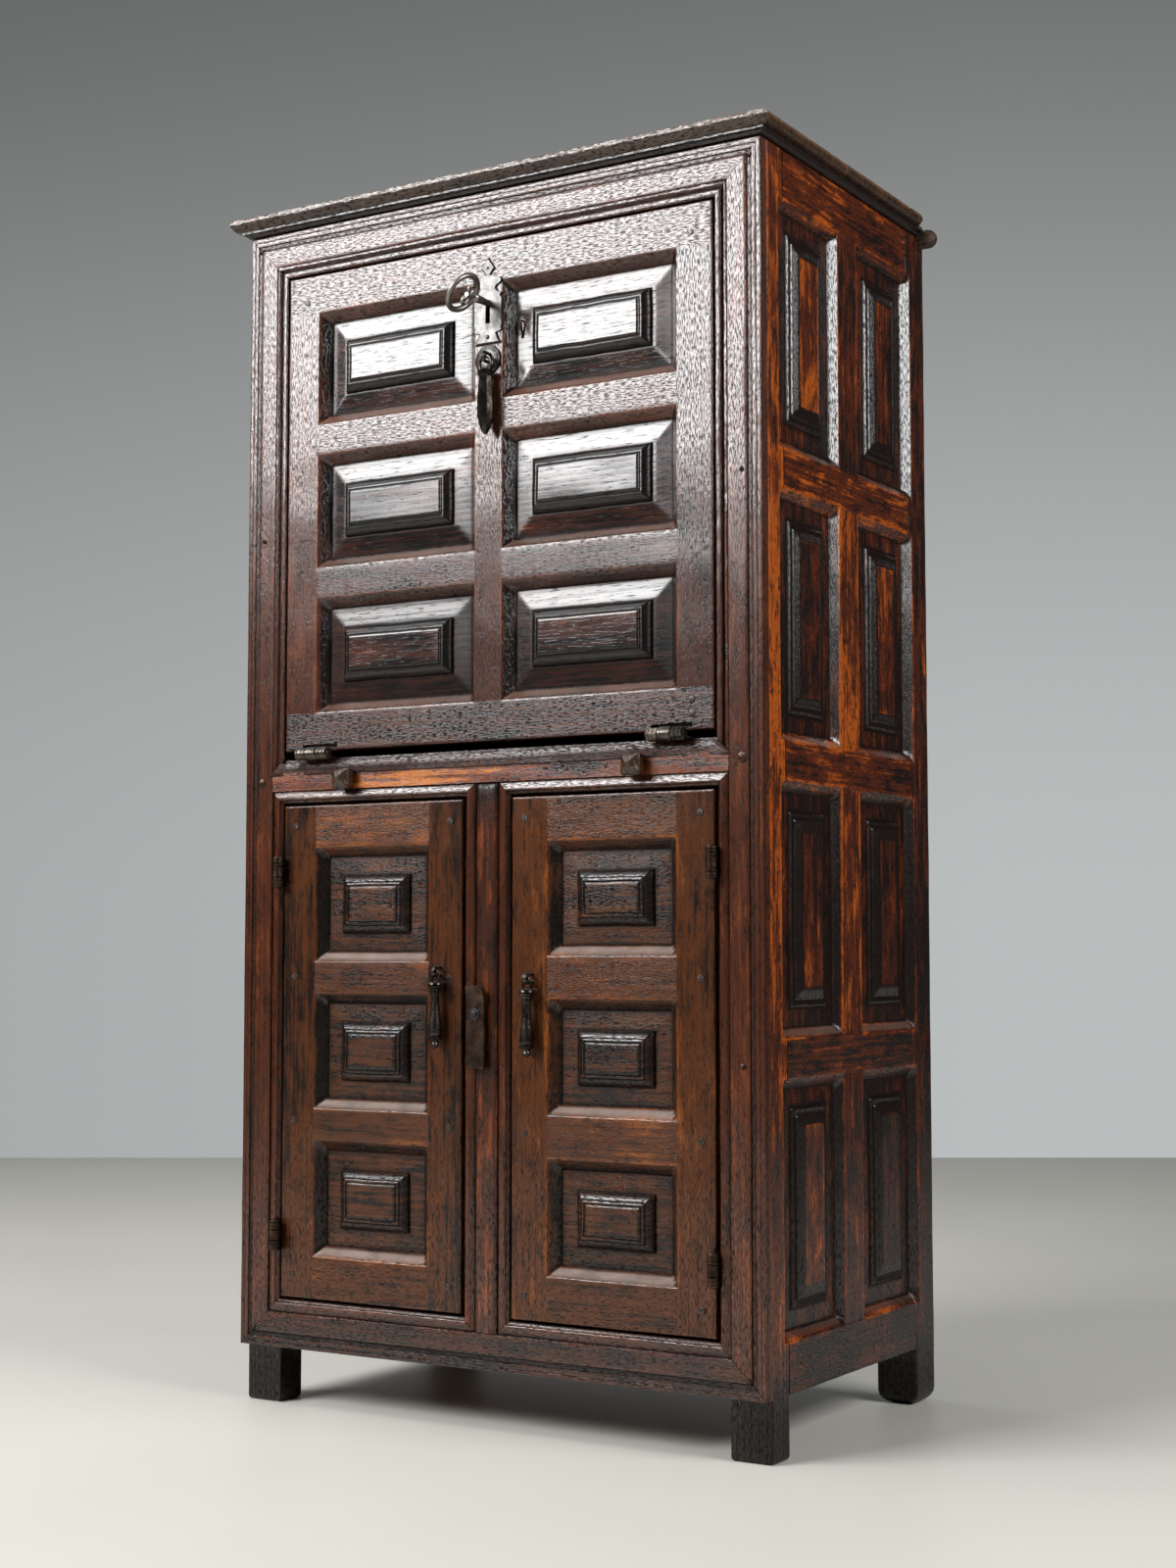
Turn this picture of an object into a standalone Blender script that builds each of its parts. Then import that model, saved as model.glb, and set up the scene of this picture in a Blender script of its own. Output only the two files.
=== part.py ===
"""A fall-front cabinet in dark oak with wrought-iron fittings.

Metres, +Z up, the front faces -Y. The origin is on the floor under the middle of the whole object.
"""
import math

import bmesh
import bpy
from mathutils import Matrix, Vector

# Clearances
FIT = 0.0003
RUNNING = 0.0006

# Face frame and the openings in it
FRAME_OUTER_WIDTH = 0.820
FRAME_WIDTH = 0.048
FRAME_THICKNESS = 0.018
REED_WIDTH = 0.0065
REED_DEPTH = 0.0022
REED_COUNT = 3
MOULDING_WIDTH = 0.018
BEAD_RADIUS = 0.0045
MULLION_WIDTH = 0.036
DOOR_OPENING_HEIGHT = 0.682
LOPER_BAND_HEIGHT = 0.025
FALL_OPENING_HEIGHT = 0.6875
RAIL_DEPTH = 0.045
BACKING_SET = 0.004

# Case
CASE_DEPTH = 0.512
FOOT_HEIGHT = 0.078
FRONT_FOOT_WEAR = 0.004
BACK_FOOT_WEAR = 0.012
POST_WIDTH = 0.058
FRONT_POST_DEPTH = 0.0455
BACK_POST_DEPTH = 0.063
FOOT_SEAM_FROM_EDGE = 0.041
FOOT_SEAM_WIDTH = 0.003
SIDE_THICKNESS = 0.030
SIDE_END_RAIL = 0.063
SIDE_CROSS_RAIL = 0.050
SIDE_MUNTIN = 0.059
SIDE_ROWS = 4
SIDE_CHAMFER_WIDTH = 0.013
SIDE_CHAMFER_DEPTH = 0.0115
BOARD_THICKNESS = 0.018
PARTITION_THICKNESS = 0.016
BACK_THICKNESS = 0.018
BACK_SET = 0.006
BACK_BOARDS = 5
BACK_GROOVE = 0.003
CORNICE_HEIGHT = 0.009
CORNICE_OVERHANG = 0.0095
CORNICE_FILLET = 0.003
CORNICE_SEAT = 0.028
TOP_THICKNESS = 0.0155
TOP_OVERHANG = 0.022
TOP_NOSE_STOP = 0.036
TOP_CORNER = 0.018
BATTEN_END_REACH = 0.023
BATTEN_END_RADIUS = 0.0122

# Fall
FALL_THICKNESS = 0.030
LEAF_SET = 0.002
FALL_SIDE_GAP = 0.0035
FALL_TOP_GAP = 0.003
FALL_BOTTOM_GAP = 0.0115
FALL_STILE = 0.053
FALL_MUNTIN = 0.0445
FALL_TOP_RAIL = 0.055
FALL_BOTTOM_RAIL = 0.053
FALL_CROSS_RAIL = 0.0435

# Doors
DOOR_THICKNESS = 0.028
DOOR_GAP = 0.0035
DOOR_STILE = 0.0545
DOOR_TOP_RAIL = 0.058
DOOR_BOTTOM_RAIL = 0.0575
LEFT_DOOR_CROSS_RAIL = 0.043
RIGHT_DOOR_CROSS_RAIL = 0.055

# Chamfered openings of the fall and doors, and the raised panels in them
CHAMFER_WIDTH = 0.0145
CHAMFER_DEPTH = 0.016
GROOVE_DEPTH = 0.008
GROOVE_WIDTH = 0.008
PANEL_PLAY = 0.0008
PANEL_RISE = 0.004
FALL_PANEL_BORDER = 0.0435
FALL_PANEL_STEP = 0.0155
DOOR_PANEL_BORDER = 0.041
DOOR_PANEL_STEP = 0.020
PANEL_FIELD_DEPTH = 0.006

# Fall hinges
FALL_HINGE_FROM_EDGE = 0.064
FALL_BARREL_RADIUS = 0.009
FALL_BARREL_LENGTH = 0.056
FALL_HINGE_SET = 0.0125
FALL_LEAF_THICKNESS = 0.0025
FALL_LEAF_REACH = 0.028
FALL_NOTCH_HEIGHT = 0.009
FALL_NOTCH_DEPTH = 0.010
FALL_NOTCH_MARGIN = 0.002

# Door hinges
DOOR_HINGE_RISE = 0.088
DOOR_HINGE_DROP = 0.095
DOOR_BARREL_RADIUS = 0.0075
DOOR_BARREL_LENGTH = 0.043
DOOR_HINGE_SET = 0.0095
DOOR_LEAF_THICKNESS = 0.0012
DOOR_LEAF_REACH = 0.024
PIN_RADIUS = 0.003
KNUCKLE_GAP = 0.0008

# Lopers
LOPER_FROM_EDGE = 0.114
LOPER_SECTION = 0.0214
LOPER_LENGTH = 0.400
LOPER_HEAD = 0.028
LOPER_HEAD_GAP = 0.005
LOPER_HEAD_BLOCK = 0.0115
LOPER_HEAD_POINT = 0.0095
LOPER_HEAD_TIP = 0.004
GUIDE_FROM_FACE = 0.115
GUIDE_THICKNESS = 0.025
GUIDE_DROP = 0.014

# Lock, lock plate and key
KEY_BELOW_TOP = 0.084
KEYHOLE_RADIUS = 0.0047
KEYHOLE_SLOT_WIDTH = 0.0075
KEYHOLE_SLOT_DROP = 0.028
PLATE_THICKNESS = 0.0016
PLATE_HALF_WIDTH = 0.0225
PLATE_BELOW_KEY = 0.0555
LOCK_HALF_WIDTH = 0.045
LOCK_HEIGHT = 0.106
LOCK_DEPTH = 0.021
LOCK_WALL = 0.0018
LOCK_BELOW_TOP = 0.003
BOLT_HALF_WIDTH = 0.014
BOLT_THICKNESS = 0.008
BOLT_FROM_FALL = 0.004
BOLT_ABOVE_KEY = 0.0085
BOLT_TRAVEL = 0.014
KEY_STEM_RADIUS = 0.0041
KEY_BOW_RADIUS = 0.0205
KEY_BOW_WIRE = 0.0035
KEY_BOW_FROM_FACE = 0.058
KEY_BIT_REACH = 0.019
KEY_BIT_WIDTH = 0.010
KEY_BIT_THICKNESS = 0.004
KEY_REST_TILT = math.radians(38)

# Drop handles
STAPLE_WIRE = 0.0024
RING_PLAY = 0.001
FALL_RING_RADIUS = 0.0085
FALL_HANDLE_DROP = 0.160
FALL_HANDLE_LENGTH = 0.088
FALL_HANDLE_RADIUS = 0.0112
HANDLE_STANDOFF = 0.0012
ROSETTE_RADIUS = 0.021
DOOR_RING_RADIUS = 0.007
DOOR_HANDLE_LENGTH = 0.088
DOOR_HANDLE_RADIUS = 0.0108
LEFT_HANDLE_RISE = 0.450
RIGHT_HANDLE_RISE = 0.4415
LEFT_HANDLE_FROM_MIDDLE = 0.0735
RIGHT_HANDLE_FROM_MIDDLE = 0.0712

# Turn button
BUTTON_RISE = 0.395
BUTTON_FROM_MIDDLE = 0.0103
BUTTON_LONG_ARM = 0.072
BUTTON_SHORT_ARM = 0.037
BUTTON_HALF_WIDTH = 0.015
BUTTON_THICKNESS = 0.005
BUTTON_EDGE = 0.0018
BUTTON_BEND = 0.005
BUTTON_GAP = 0.005
NAIL_RADIUS = 0.0027
NAIL_HEAD_RADIUS = 0.006
NAIL_DEPTH = 0.020

# Places that follow from the sizes
HALF = FRAME_OUTER_WIDTH / 2
KEY_REACH = KEY_BOW_FROM_FACE + KEY_BOW_RADIUS + KEY_BOW_WIRE
FACE = (KEY_REACH - CASE_DEPTH) / 2
BACK = FACE + CASE_DEPTH
OPENING_HALF = HALF - FRAME_WIDTH - MOULDING_WIDTH
FALL_HINGE_X = OPENING_HALF - FALL_HINGE_FROM_EDGE
LOPER_X = OPENING_HALF - LOPER_FROM_EDGE
Z_FRAME = FOOT_HEIGHT
Z_DOOR = Z_FRAME + FRAME_WIDTH + MOULDING_WIDTH
Z_DOOR_END = Z_DOOR + DOOR_OPENING_HEIGHT
Z_BAND = Z_DOOR_END + MOULDING_WIDTH
Z_BAND_END = Z_BAND + LOPER_BAND_HEIGHT
Z_FALL = Z_BAND_END + MOULDING_WIDTH
Z_FALL_END = Z_FALL + FALL_OPENING_HEIGHT
Z_FRAME_END = Z_FALL_END + MOULDING_WIDTH + FRAME_WIDTH
Z_TOP = Z_FRAME_END + CORNICE_HEIGHT + 2 * FIT
FRONT_POST_FRONT = FACE + FRAME_THICKNESS + FIT
FRONT_POST_BACK = FRONT_POST_FRONT + FRONT_POST_DEPTH
BACK_POST_FRONT = BACK - BACK_POST_DEPTH
POST_INNER = HALF - POST_WIDTH
SIDE_INNER = HALF - SIDE_THICKNESS
BACK_INNER = BACK - BACK_SET - BACK_THICKNESS
FALL_FRONT = FACE + LEAF_SET
FALL_BACK = FALL_FRONT + FALL_THICKNESS
FALL_BOTTOM = Z_FALL + FALL_BOTTOM_GAP
FALL_TOP = Z_FALL_END - FALL_TOP_GAP
FALL_HALF = OPENING_HALF - FALL_SIDE_GAP
DOOR_BOTTOM = Z_DOOR + DOOR_GAP
DOOR_TOP = Z_DOOR_END - DOOR_GAP
DOOR_FRONT = FACE + LEAF_SET
DOOR_OUTER = OPENING_HALF - DOOR_GAP
DOOR_INNER = MULLION_WIDTH / 2 + MOULDING_WIDTH + DOOR_GAP
KEY_Z = FALL_TOP - KEY_BELOW_TOP
LOPER_Z = (Z_BAND + Z_BAND_END) / 2
PARTITION_TOP = Z_FALL - FIT
PARTITION_BOTTOM = PARTITION_TOP - PARTITION_THICKNESS
BOLT_FRONT = FALL_BACK + BOLT_FROM_FALL
BOLT_BACK = BOLT_FRONT + BOLT_THICKNESS
BOLT_TOP = FALL_TOP - LOCK_BELOW_TOP
BOLT_TAIL = KEY_Z + BOLT_ABOVE_KEY
FALL_AXIS = Vector((0, FACE - FALL_HINGE_SET, Z_FALL + FALL_BOTTOM_GAP / 2))
DOOR_AXIS_X = OPENING_HALF - DOOR_GAP / 2
DOOR_AXIS_Y = FACE - DOOR_HINGE_SET

# Finishes: colour, roughness, metallic
OAK_GLOSSY = ((0.17, 0.115, 0.085, 1), 0.35, 0)
OAK_DARK = ((0.075, 0.042, 0.027, 1), 0.45, 0)
OAK_WARM = ((0.13, 0.058, 0.024, 1), 0.5, 0)
OAK_RAW = ((0.22, 0.14, 0.08, 1), 0.75, 0)
IRON = ((0.05, 0.048, 0.045, 1), 0.45, 1)
IRON_RUSTY = ((0.085, 0.05, 0.032, 1), 0.65, 1)


def clear_scene():
    for obj in list(bpy.data.objects):
        bpy.data.objects.remove(obj)


def solid(name, points, faces, smooth=False):
    """One closed mesh object from points and faces, with its faces turned outwards."""
    mesh = bpy.data.meshes.new(name)
    mesh.from_pydata([tuple(point) for point in points], [], faces)
    shape = bmesh.new()
    shape.from_mesh(mesh)
    bmesh.ops.recalc_face_normals(shape, faces=shape.faces)
    shape.to_mesh(mesh)
    shape.free()
    if smooth:
        mesh.shade_smooth()
        mesh.set_sharp_from_angle(angle=math.radians(40))
    obj = bpy.data.objects.new(name, mesh)
    bpy.context.scene.collection.objects.link(obj)
    return obj


def loft(name, loops, closed=False, smooth=False):
    """Skin equal loops of points, capped at both ends or closed on itself."""
    count = len(loops[0])
    points = [point for loop in loops for point in loop]
    pairs = len(loops) if closed else len(loops) - 1
    faces = []
    for row in range(pairs):
        here = row * count
        after = (row + 1) % len(loops) * count
        for i in range(count):
            j = (i + 1) % count
            faces.append((here + i, here + j, after + j, after + i))
    if not closed:
        faces.append(tuple(range(count)))
        faces.append(tuple(range(len(points) - count, len(points))))
    return solid(name, points, faces, smooth)


def box(name, low, high):
    corners = [(low[0], low[1]), (high[0], low[1]), (high[0], high[1]), (low[0], high[1])]
    return loft(name, [[(x, y, z) for x, y in corners] for z in (low[2], high[2])])


def prism(name, outline, axis, start, end):
    """Extrude an outline along an axis. The outline holds the two other coordinates in order."""
    loops = []
    for level in (start, end):
        loops.append([tuple(point[:axis]) + (level,) + tuple(point[axis:]) for point in outline])
    return loft(name, loops)


def arc(centre, radius, start, end, steps):
    """Points on an arc, angles in degrees."""
    points = []
    for i in range(steps + 1):
        angle = math.radians(start + (end - start) * i / steps)
        points.append((centre[0] + radius * math.cos(angle), centre[1] + radius * math.sin(angle)))
    return points


def cylinder(name, start, end, radius, sides=20):
    """A round bar between two points."""
    return tube(name, [Vector(start), Vector(end)], radius, sides)


def tube(name, path, radius, sides=10):
    """A round bar along a path that lies in one plane."""
    path = [Vector(point) for point in path]
    chord = path[-1] - path[0]
    turn = (path[len(path) // 2] - path[0]).cross(chord)
    if turn.length < 1e-9:
        turn = chord.cross(Vector((0.31, 0.27, 0.91)))
    normal = turn.normalized()
    loops = []
    for i, point in enumerate(path):
        along = (path[min(i + 1, len(path) - 1)] - path[max(i - 1, 0)]).normalized()
        across = along.cross(normal)
        loop = []
        for k in range(sides):
            angle = 2 * math.pi * k / sides
            loop.append(point + radius * (math.cos(angle) * across + math.sin(angle) * normal))
        loops.append(loop)
    return loft(name, loops, smooth=True)


def ring(name, centre, radius, wire, axis, segments=24, sides=10):
    """A round ring about an axis through its centre."""
    turn = Vector(axis).to_track_quat("Z", "Y")
    loops = []
    for i in range(segments):
        angle = 2 * math.pi * i / segments
        loop = []
        for k in range(sides):
            around = 2 * math.pi * k / sides
            reach = radius + wire * math.cos(around)
            local = Vector((reach * math.cos(angle), reach * math.sin(angle), wire * math.sin(around)))
            loop.append(Vector(centre) + turn @ local)
        loops.append(loop)
    return loft(name, loops, closed=True, smooth=True)


def turned(name, centre, profile, sides):
    """A piece turned about a vertical axis. The profile runs down as (radius, drop)."""
    loops = []
    for radius, drop in profile:
        loop = []
        for k in range(sides):
            angle = 2 * math.pi * (k + 0.5) / sides
            loop.append((centre[0] + radius * math.cos(angle), centre[1] + radius * math.sin(angle),
                         centre[2] - drop))
        loops.append(loop)
    return loft(name, loops, smooth=sides > 8)


def combine(target, operation, *tools):
    """Apply Booleans to the target and remove the tools."""
    for tool in tools:
        modifier = target.modifiers.new("combine", "BOOLEAN")
        modifier.operation = operation
        modifier.solver = "EXACT"
        modifier.object = tool
    depsgraph = bpy.context.evaluated_depsgraph_get()
    mesh = bpy.data.meshes.new_from_object(target.evaluated_get(depsgraph))
    target.modifiers.clear()
    target.data = mesh
    for tool in tools:
        bpy.data.objects.remove(tool)
    return target


def finish(obj, look):
    """Give an object its own material."""
    colour, roughness, metallic = look
    material = bpy.data.materials.new(obj.name)
    material.use_nodes = True
    shader = material.node_tree.nodes["Principled BSDF"]
    shader.inputs["Base Color"].default_value = colour
    shader.inputs["Roughness"].default_value = roughness
    shader.inputs["Metallic"].default_value = metallic
    obj.data.materials.clear()
    obj.data.materials.append(material)
    return obj


def joint_empty(name, place, parent=None):
    """An empty on a joint's axis, which carries the pieces that move about it."""
    empty = bpy.data.objects.new(name, None)
    empty.location = place
    bpy.context.scene.collection.objects.link(empty)
    bpy.context.view_layer.update()
    if parent:
        hang(parent, empty)
    return empty


def hang(parent, *pieces):
    """Parent pieces to an empty and leave them where they are."""
    for piece in pieces:
        piece.parent = parent
        piece.matrix_parent_inverse = parent.matrix_world.inverted()
    bpy.context.view_layer.update()


def mitred_bar(name, half_length, section, place):
    """A moulded bar with mitred ends. Section points are (from the outer edge, depth)."""
    loops = []
    for end in (-1, 1):
        loop = []
        for inward, depth in section:
            along = end * (half_length - inward - FIT / 2)
            loop.append(place @ Vector((along, depth, -inward)))
        loops.append(loop)
    return loft(name, loops)


def mitred_ring(name, low, high, section):
    """A moulding mitred round an opening. Section points are (outward from the opening, depth)."""
    loops = []
    for x, out_x, z, out_z in ((low[0], -1, low[1], -1), (high[0], 1, low[1], -1),
                               (high[0], 1, high[1], 1), (low[0], -1, high[1], 1)):
        loops.append([(x + out_x * u, FACE + depth, z + out_z * u) for u, depth in section])
    return loft(name, loops, closed=True)


def panelled_frame(name, x_cuts, z_cuts, front, rings):
    """A slab with a grid of openings through it, each lined by rings of (inset, depth)."""
    depth_end = rings[-1][1]
    points = []
    index = {}

    def add(key, point):
        index[key] = len(points)
        points.append(point)

    for i, x in enumerate(x_cuts):
        for j, z in enumerate(z_cuts):
            shift_x = inset_sign(i, len(x_cuts)) * rings[-1][0]
            shift_z = inset_sign(j, len(z_cuts)) * rings[-1][0]
            add((0, i, j), (x, front, z))
            add((1, i, j), (x + shift_x, front + depth_end, z + shift_z))
    faces = []
    columns = len(x_cuts) - 1
    rows = len(z_cuts) - 1
    for side in (0, 1):
        for i in range(columns):
            for j in range(rows):
                if i % 2 and j % 2:
                    continue
                corners = ((i, j), (i + 1, j), (i + 1, j + 1), (i, j + 1))
                faces.append([index[(side,) + corner] for corner in corners])
    for i in range(columns):
        for j in (0, rows):
            faces.append([index[0, i, j], index[0, i + 1, j], index[1, i + 1, j], index[1, i, j]])
    for j in range(rows):
        for i in (0, columns):
            faces.append([index[0, i, j], index[0, i, j + 1], index[1, i, j + 1], index[1, i, j]])
    for i in range(1, columns, 2):
        for j in range(1, rows, 2):
            corners = ((i, j), (i + 1, j), (i + 1, j + 1), (i, j + 1))
            previous = [index[(0,) + corner] for corner in corners]
            for inset, depth in rings[1:-1]:
                loop = []
                for a, b in corners:
                    x = x_cuts[a] + inset_sign(a, len(x_cuts)) * inset
                    z = z_cuts[b] + inset_sign(b, len(z_cuts)) * inset
                    loop.append(len(points))
                    points.append((x, front + depth, z))
                faces.extend(strip(previous, loop))
                previous = loop
            faces.extend(strip(previous, [index[(1,) + corner] for corner in corners]))
    return solid(name, points, faces)


def inset_sign(i, count):
    """Which way an opening's edge moves when the opening gets smaller. The outer edges stay."""
    if i in (0, count - 1):
        return 0
    return 1 if i % 2 else -1


def strip(first, second):
    return [(first[k], first[(k + 1) % 4], second[(k + 1) % 4], second[k]) for k in range(4)]


def panel(name, low, high, front, rings):
    """A raised panel built up from back to front by rings of (inset, depth)."""
    loops = []
    for inset, depth in rings:
        x0, x1 = low[0] + inset, high[0] - inset
        z0, z1 = low[1] + inset, high[1] - inset
        loops.append([(x, front + depth, z) for x, z in ((x0, z0), (x1, z0), (x1, z1), (x0, z1))])
    return loft(name, loops)


def cuts(start, bars, spaces):
    """Edges of bars and spaces laid in turn from a start."""
    edges = [start]
    for bar, space in zip(bars, spaces + [0]):
        edges.append(edges[-1] + bar)
        if space:
            edges.append(edges[-1] + space)
    return edges


def opening_rings(thickness):
    """Chamfer, panel groove and back edge of an opening in the fall or a door."""
    groove_end = CHAMFER_DEPTH + GROOVE_WIDTH
    groove_inset = CHAMFER_WIDTH - GROOVE_DEPTH
    return [(0, 0), (CHAMFER_WIDTH, CHAMFER_DEPTH), (groove_inset, CHAMFER_DEPTH),
            (groove_inset, groove_end), (CHAMFER_WIDTH, groove_end), (CHAMFER_WIDTH, thickness)]


def raised_rings(border, step):
    """A panel whose bevelled border rises to a moulded step and a flat field."""
    rim = CHAMFER_WIDTH - GROOVE_DEPTH + PANEL_PLAY
    rim_front = CHAMFER_DEPTH + FIT
    rim_back = CHAMFER_DEPTH + GROOVE_WIDTH - FIT
    base = rim_front - PANEL_RISE
    rise = base - PANEL_FIELD_DEPTH
    return [(rim, rim_back), (rim, rim_front), (CHAMFER_WIDTH, rim_front), (border, base),
            (border + 0.02 * step, base - 0.45 * rise), (border + 0.45 * step, base - 0.6 * rise),
            (border + 0.75 * step, base - 0.9 * rise), (border + 0.78 * step, base - rise + 0.001),
            (border + step, base - rise)]


def side_opening_edges():
    """Edges of the openings in a side: along the depth and up the height."""
    y_start = FRONT_POST_BACK - SIDE_CHAMFER_WIDTH
    y_end = BACK_POST_FRONT + SIDE_CHAMFER_WIDTH
    y_space = (y_end - y_start - SIDE_MUNTIN) / 2
    rails = 2 * SIDE_END_RAIL + (SIDE_ROWS - 1) * SIDE_CROSS_RAIL
    z_space = (Z_FRAME_END - Z_FRAME - rails) / SIDE_ROWS
    columns = [(y_start, y_start + y_space), (y_end - y_space, y_end)]
    rows = []
    for row in range(SIDE_ROWS):
        z = Z_FRAME + SIDE_END_RAIL + row * (z_space + SIDE_CROSS_RAIL)
        rows.append((z, z + z_space))
    return columns, rows


def chamfer_cutter(name, sign, y_range, z_range):
    """The tapered space that a chamfered opening takes from a side's outer face."""
    reach = 0.001
    spread = reach * SIDE_CHAMFER_WIDTH / SIDE_CHAMFER_DEPTH
    loops = []
    for depth, inset in ((-reach, -spread), (SIDE_CHAMFER_DEPTH, SIDE_CHAMFER_WIDTH)):
        y0, y1 = y_range[0] + inset, y_range[1] - inset
        z0, z1 = z_range[0] + inset, z_range[1] - inset
        x = sign * (HALF - depth)
        loops.append([(x, y, z) for y, z in ((y0, z0), (y1, z0), (y1, z1), (y0, z1))])
    return loft(name, loops)


def post(name, sign, y_front, y_back, column, wear):
    """A corner post with stopped chamfers along the panels. Its lower end is the foot, rounded by wear."""
    x_out = sign * HALF
    x_in = sign * POST_INNER
    loops = []
    for z, inset in ((0, wear), (0.3 * wear, 0.4 * wear), (1.2 * wear, 0), (Z_FRAME_END, 0)):
        xs = (x_in + sign * inset, x_out - sign * inset)
        ys = (y_front + inset, y_back - inset)
        loops.append([(xs[0], ys[0], z), (xs[1], ys[0], z), (xs[1], ys[1], z), (xs[0], ys[1], z)])
    body = loft(name, loops)
    rows = side_opening_edges()[1]
    cutters = [chamfer_cutter("chamfer", sign, column, row) for row in rows]
    return finish(combine(body, "DIFFERENCE", *cutters), OAK_WARM)


def posts():
    columns = side_opening_edges()[0]
    for label, sign in (("left", -1), ("right", 1)):
        front = post(f"front_{label}_post", sign, FRONT_POST_FRONT, FRONT_POST_BACK, columns[0], FRONT_FOOT_WEAR)
        post(f"back_{label}_post", sign, BACK_POST_FRONT, BACK, columns[1], BACK_FOOT_WEAR)
    # The front right foot has a block let in on its inner side, with an open seam.
    x = HALF - FOOT_SEAM_FROM_EDGE
    seam = box("seam", (x - FOOT_SEAM_WIDTH / 2, FRONT_POST_FRONT - FOOT_SEAM_WIDTH, -FOOT_SEAM_WIDTH),
               (x + FOOT_SEAM_WIDTH / 2, FRONT_POST_FRONT + FOOT_SEAM_WIDTH, Z_FRAME))
    combine(front, "DIFFERENCE", seam)


def case_side(label, sign):
    """Rails, muntins and stepped panels of one side, between its two posts."""
    columns, rows = side_opening_edges()
    y0 = FRONT_POST_BACK + FIT
    y1 = BACK_POST_FRONT - FIT
    slab = box(f"{label}_side", (min(sign * SIDE_INNER, sign * HALF), y0, Z_FRAME),
               (max(sign * SIDE_INNER, sign * HALF), y1, Z_FRAME_END))
    cutters = [chamfer_cutter("chamfer", sign, column, row) for column in columns for row in rows]
    combine(slab, "DIFFERENCE", *cutters)
    fields = []
    for column in columns:
        for row in rows:
            fields.append(side_field(sign, column, row))
    return finish(combine(slab, "UNION", *fields), OAK_WARM)


def side_field(sign, column, row):
    """The two moulded steps of a side panel, standing on its recessed ground."""
    sunk = 0.004
    first, second, field = 0.038, 0.050, 0.062
    heights = ((first, -sunk), (first, 0.002), (first + 0.006, 0.004), (second, 0.0045), (second, 0.0065),
               (field - 0.002, 0.0085), (field, 0.009))
    loops = []
    for inset, height in heights:
        y0, y1 = column[0] + inset, column[1] - inset
        z0, z1 = row[0] + inset, row[1] - inset
        x = sign * (HALF - SIDE_CHAMFER_DEPTH + height)
        loops.append([(x, y, z) for y, z in ((y0, z0), (y1, z0), (y1, z1), (y0, z1))])
    return loft("field", loops)


def frame_section():
    """Face-frame section from the outer edge inwards: reeds, then a flat."""
    section = [(0, FRAME_THICKNESS)]
    for reed in range(REED_COUNT):
        for i in range(5):
            angle = math.pi * i / 4
            u = (reed + 0.5 - 0.5 * math.cos(angle)) * REED_WIDTH
            if i == 0 and reed > 0:
                continue
            section.append((u, REED_DEPTH * (1 - math.sin(angle))))
    section.append((REED_COUNT * REED_WIDTH + 0.0005, 0))
    section.append((FRAME_WIDTH, 0))
    section.append((FRAME_WIDTH, FRAME_THICKNESS))
    return section


def moulding_section():
    """Moulding round an opening, from the opening outwards: bead, quirk and slope up to the flat."""
    width = MOULDING_WIDTH - FIT
    back = FRAME_THICKNESS - FIT
    bead = arc((BEAD_RADIUS, BEAD_RADIUS), BEAD_RADIUS, 180, 360, 6)
    quirk = [(2 * BEAD_RADIUS + 0.0010, BEAD_RADIUS + 0.0020), (width, 0.0008), (width, back)]
    return [(0, back)] + bead + quirk


def face_frame():
    section = frame_section()
    middle = (Z_FRAME + Z_FRAME_END) / 2
    half_height = (Z_FRAME_END - Z_FRAME) / 2
    places = {
        "left_stile": Matrix.Translation((-HALF, FACE, middle)) @ Matrix.Rotation(-math.pi / 2, 4, "Y"),
        "right_stile": Matrix.Translation((HALF, FACE, middle)) @ Matrix.Rotation(math.pi / 2, 4, "Y"),
    }
    for name, place in places.items():
        finish(mitred_bar(name, half_height, section, place), OAK_DARK)
    top = mitred_bar("top_rail", HALF, section, Matrix.Translation((0, FACE, Z_FRAME_END)))
    flat_edge = Z_FRAME_END - FRAME_WIDTH
    combine(top, "UNION", rail_backing(flat_edge, Z_FRAME_END - BACKING_SET, Z_FALL_END + BACKING_SET))
    mortise = box("mortise", (-BOLT_HALF_WIDTH - RUNNING, BOLT_FRONT - RUNNING, Z_FALL_END),
                  (BOLT_HALF_WIDTH + RUNNING, BOLT_BACK + RUNNING, BOLT_TOP + BOLT_TRAVEL + BACKING_SET))
    finish(combine(top, "DIFFERENCE", mortise), OAK_GLOSSY)
    turned_over = Matrix.Translation((0, FACE, Z_FRAME)) @ Matrix.Rotation(math.pi, 4, "Y")
    bottom = mitred_bar("bottom_rail", HALF, section, turned_over)
    flat_edge = Z_FRAME + FRAME_WIDTH
    combine(bottom, "UNION", rail_backing(flat_edge, Z_FRAME + BACKING_SET, Z_DOOR - BACKING_SET))
    finish(bottom, OAK_DARK)


def rail_backing(flat_edge, far_edge, opening_edge):
    """The thick part of a rail behind its planted face, held between the posts."""
    inside = FACE + FRAME_THICKNESS / 2
    front = FACE + FRAME_THICKNESS
    back = FACE + RAIL_DEPTH
    outline = [(inside, far_edge), (back, far_edge), (back, opening_edge), (front, opening_edge),
               (front, flat_edge), (inside, flat_edge)]
    return prism("backing", outline, 0, -POST_INNER + FIT, POST_INNER - FIT)


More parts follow.
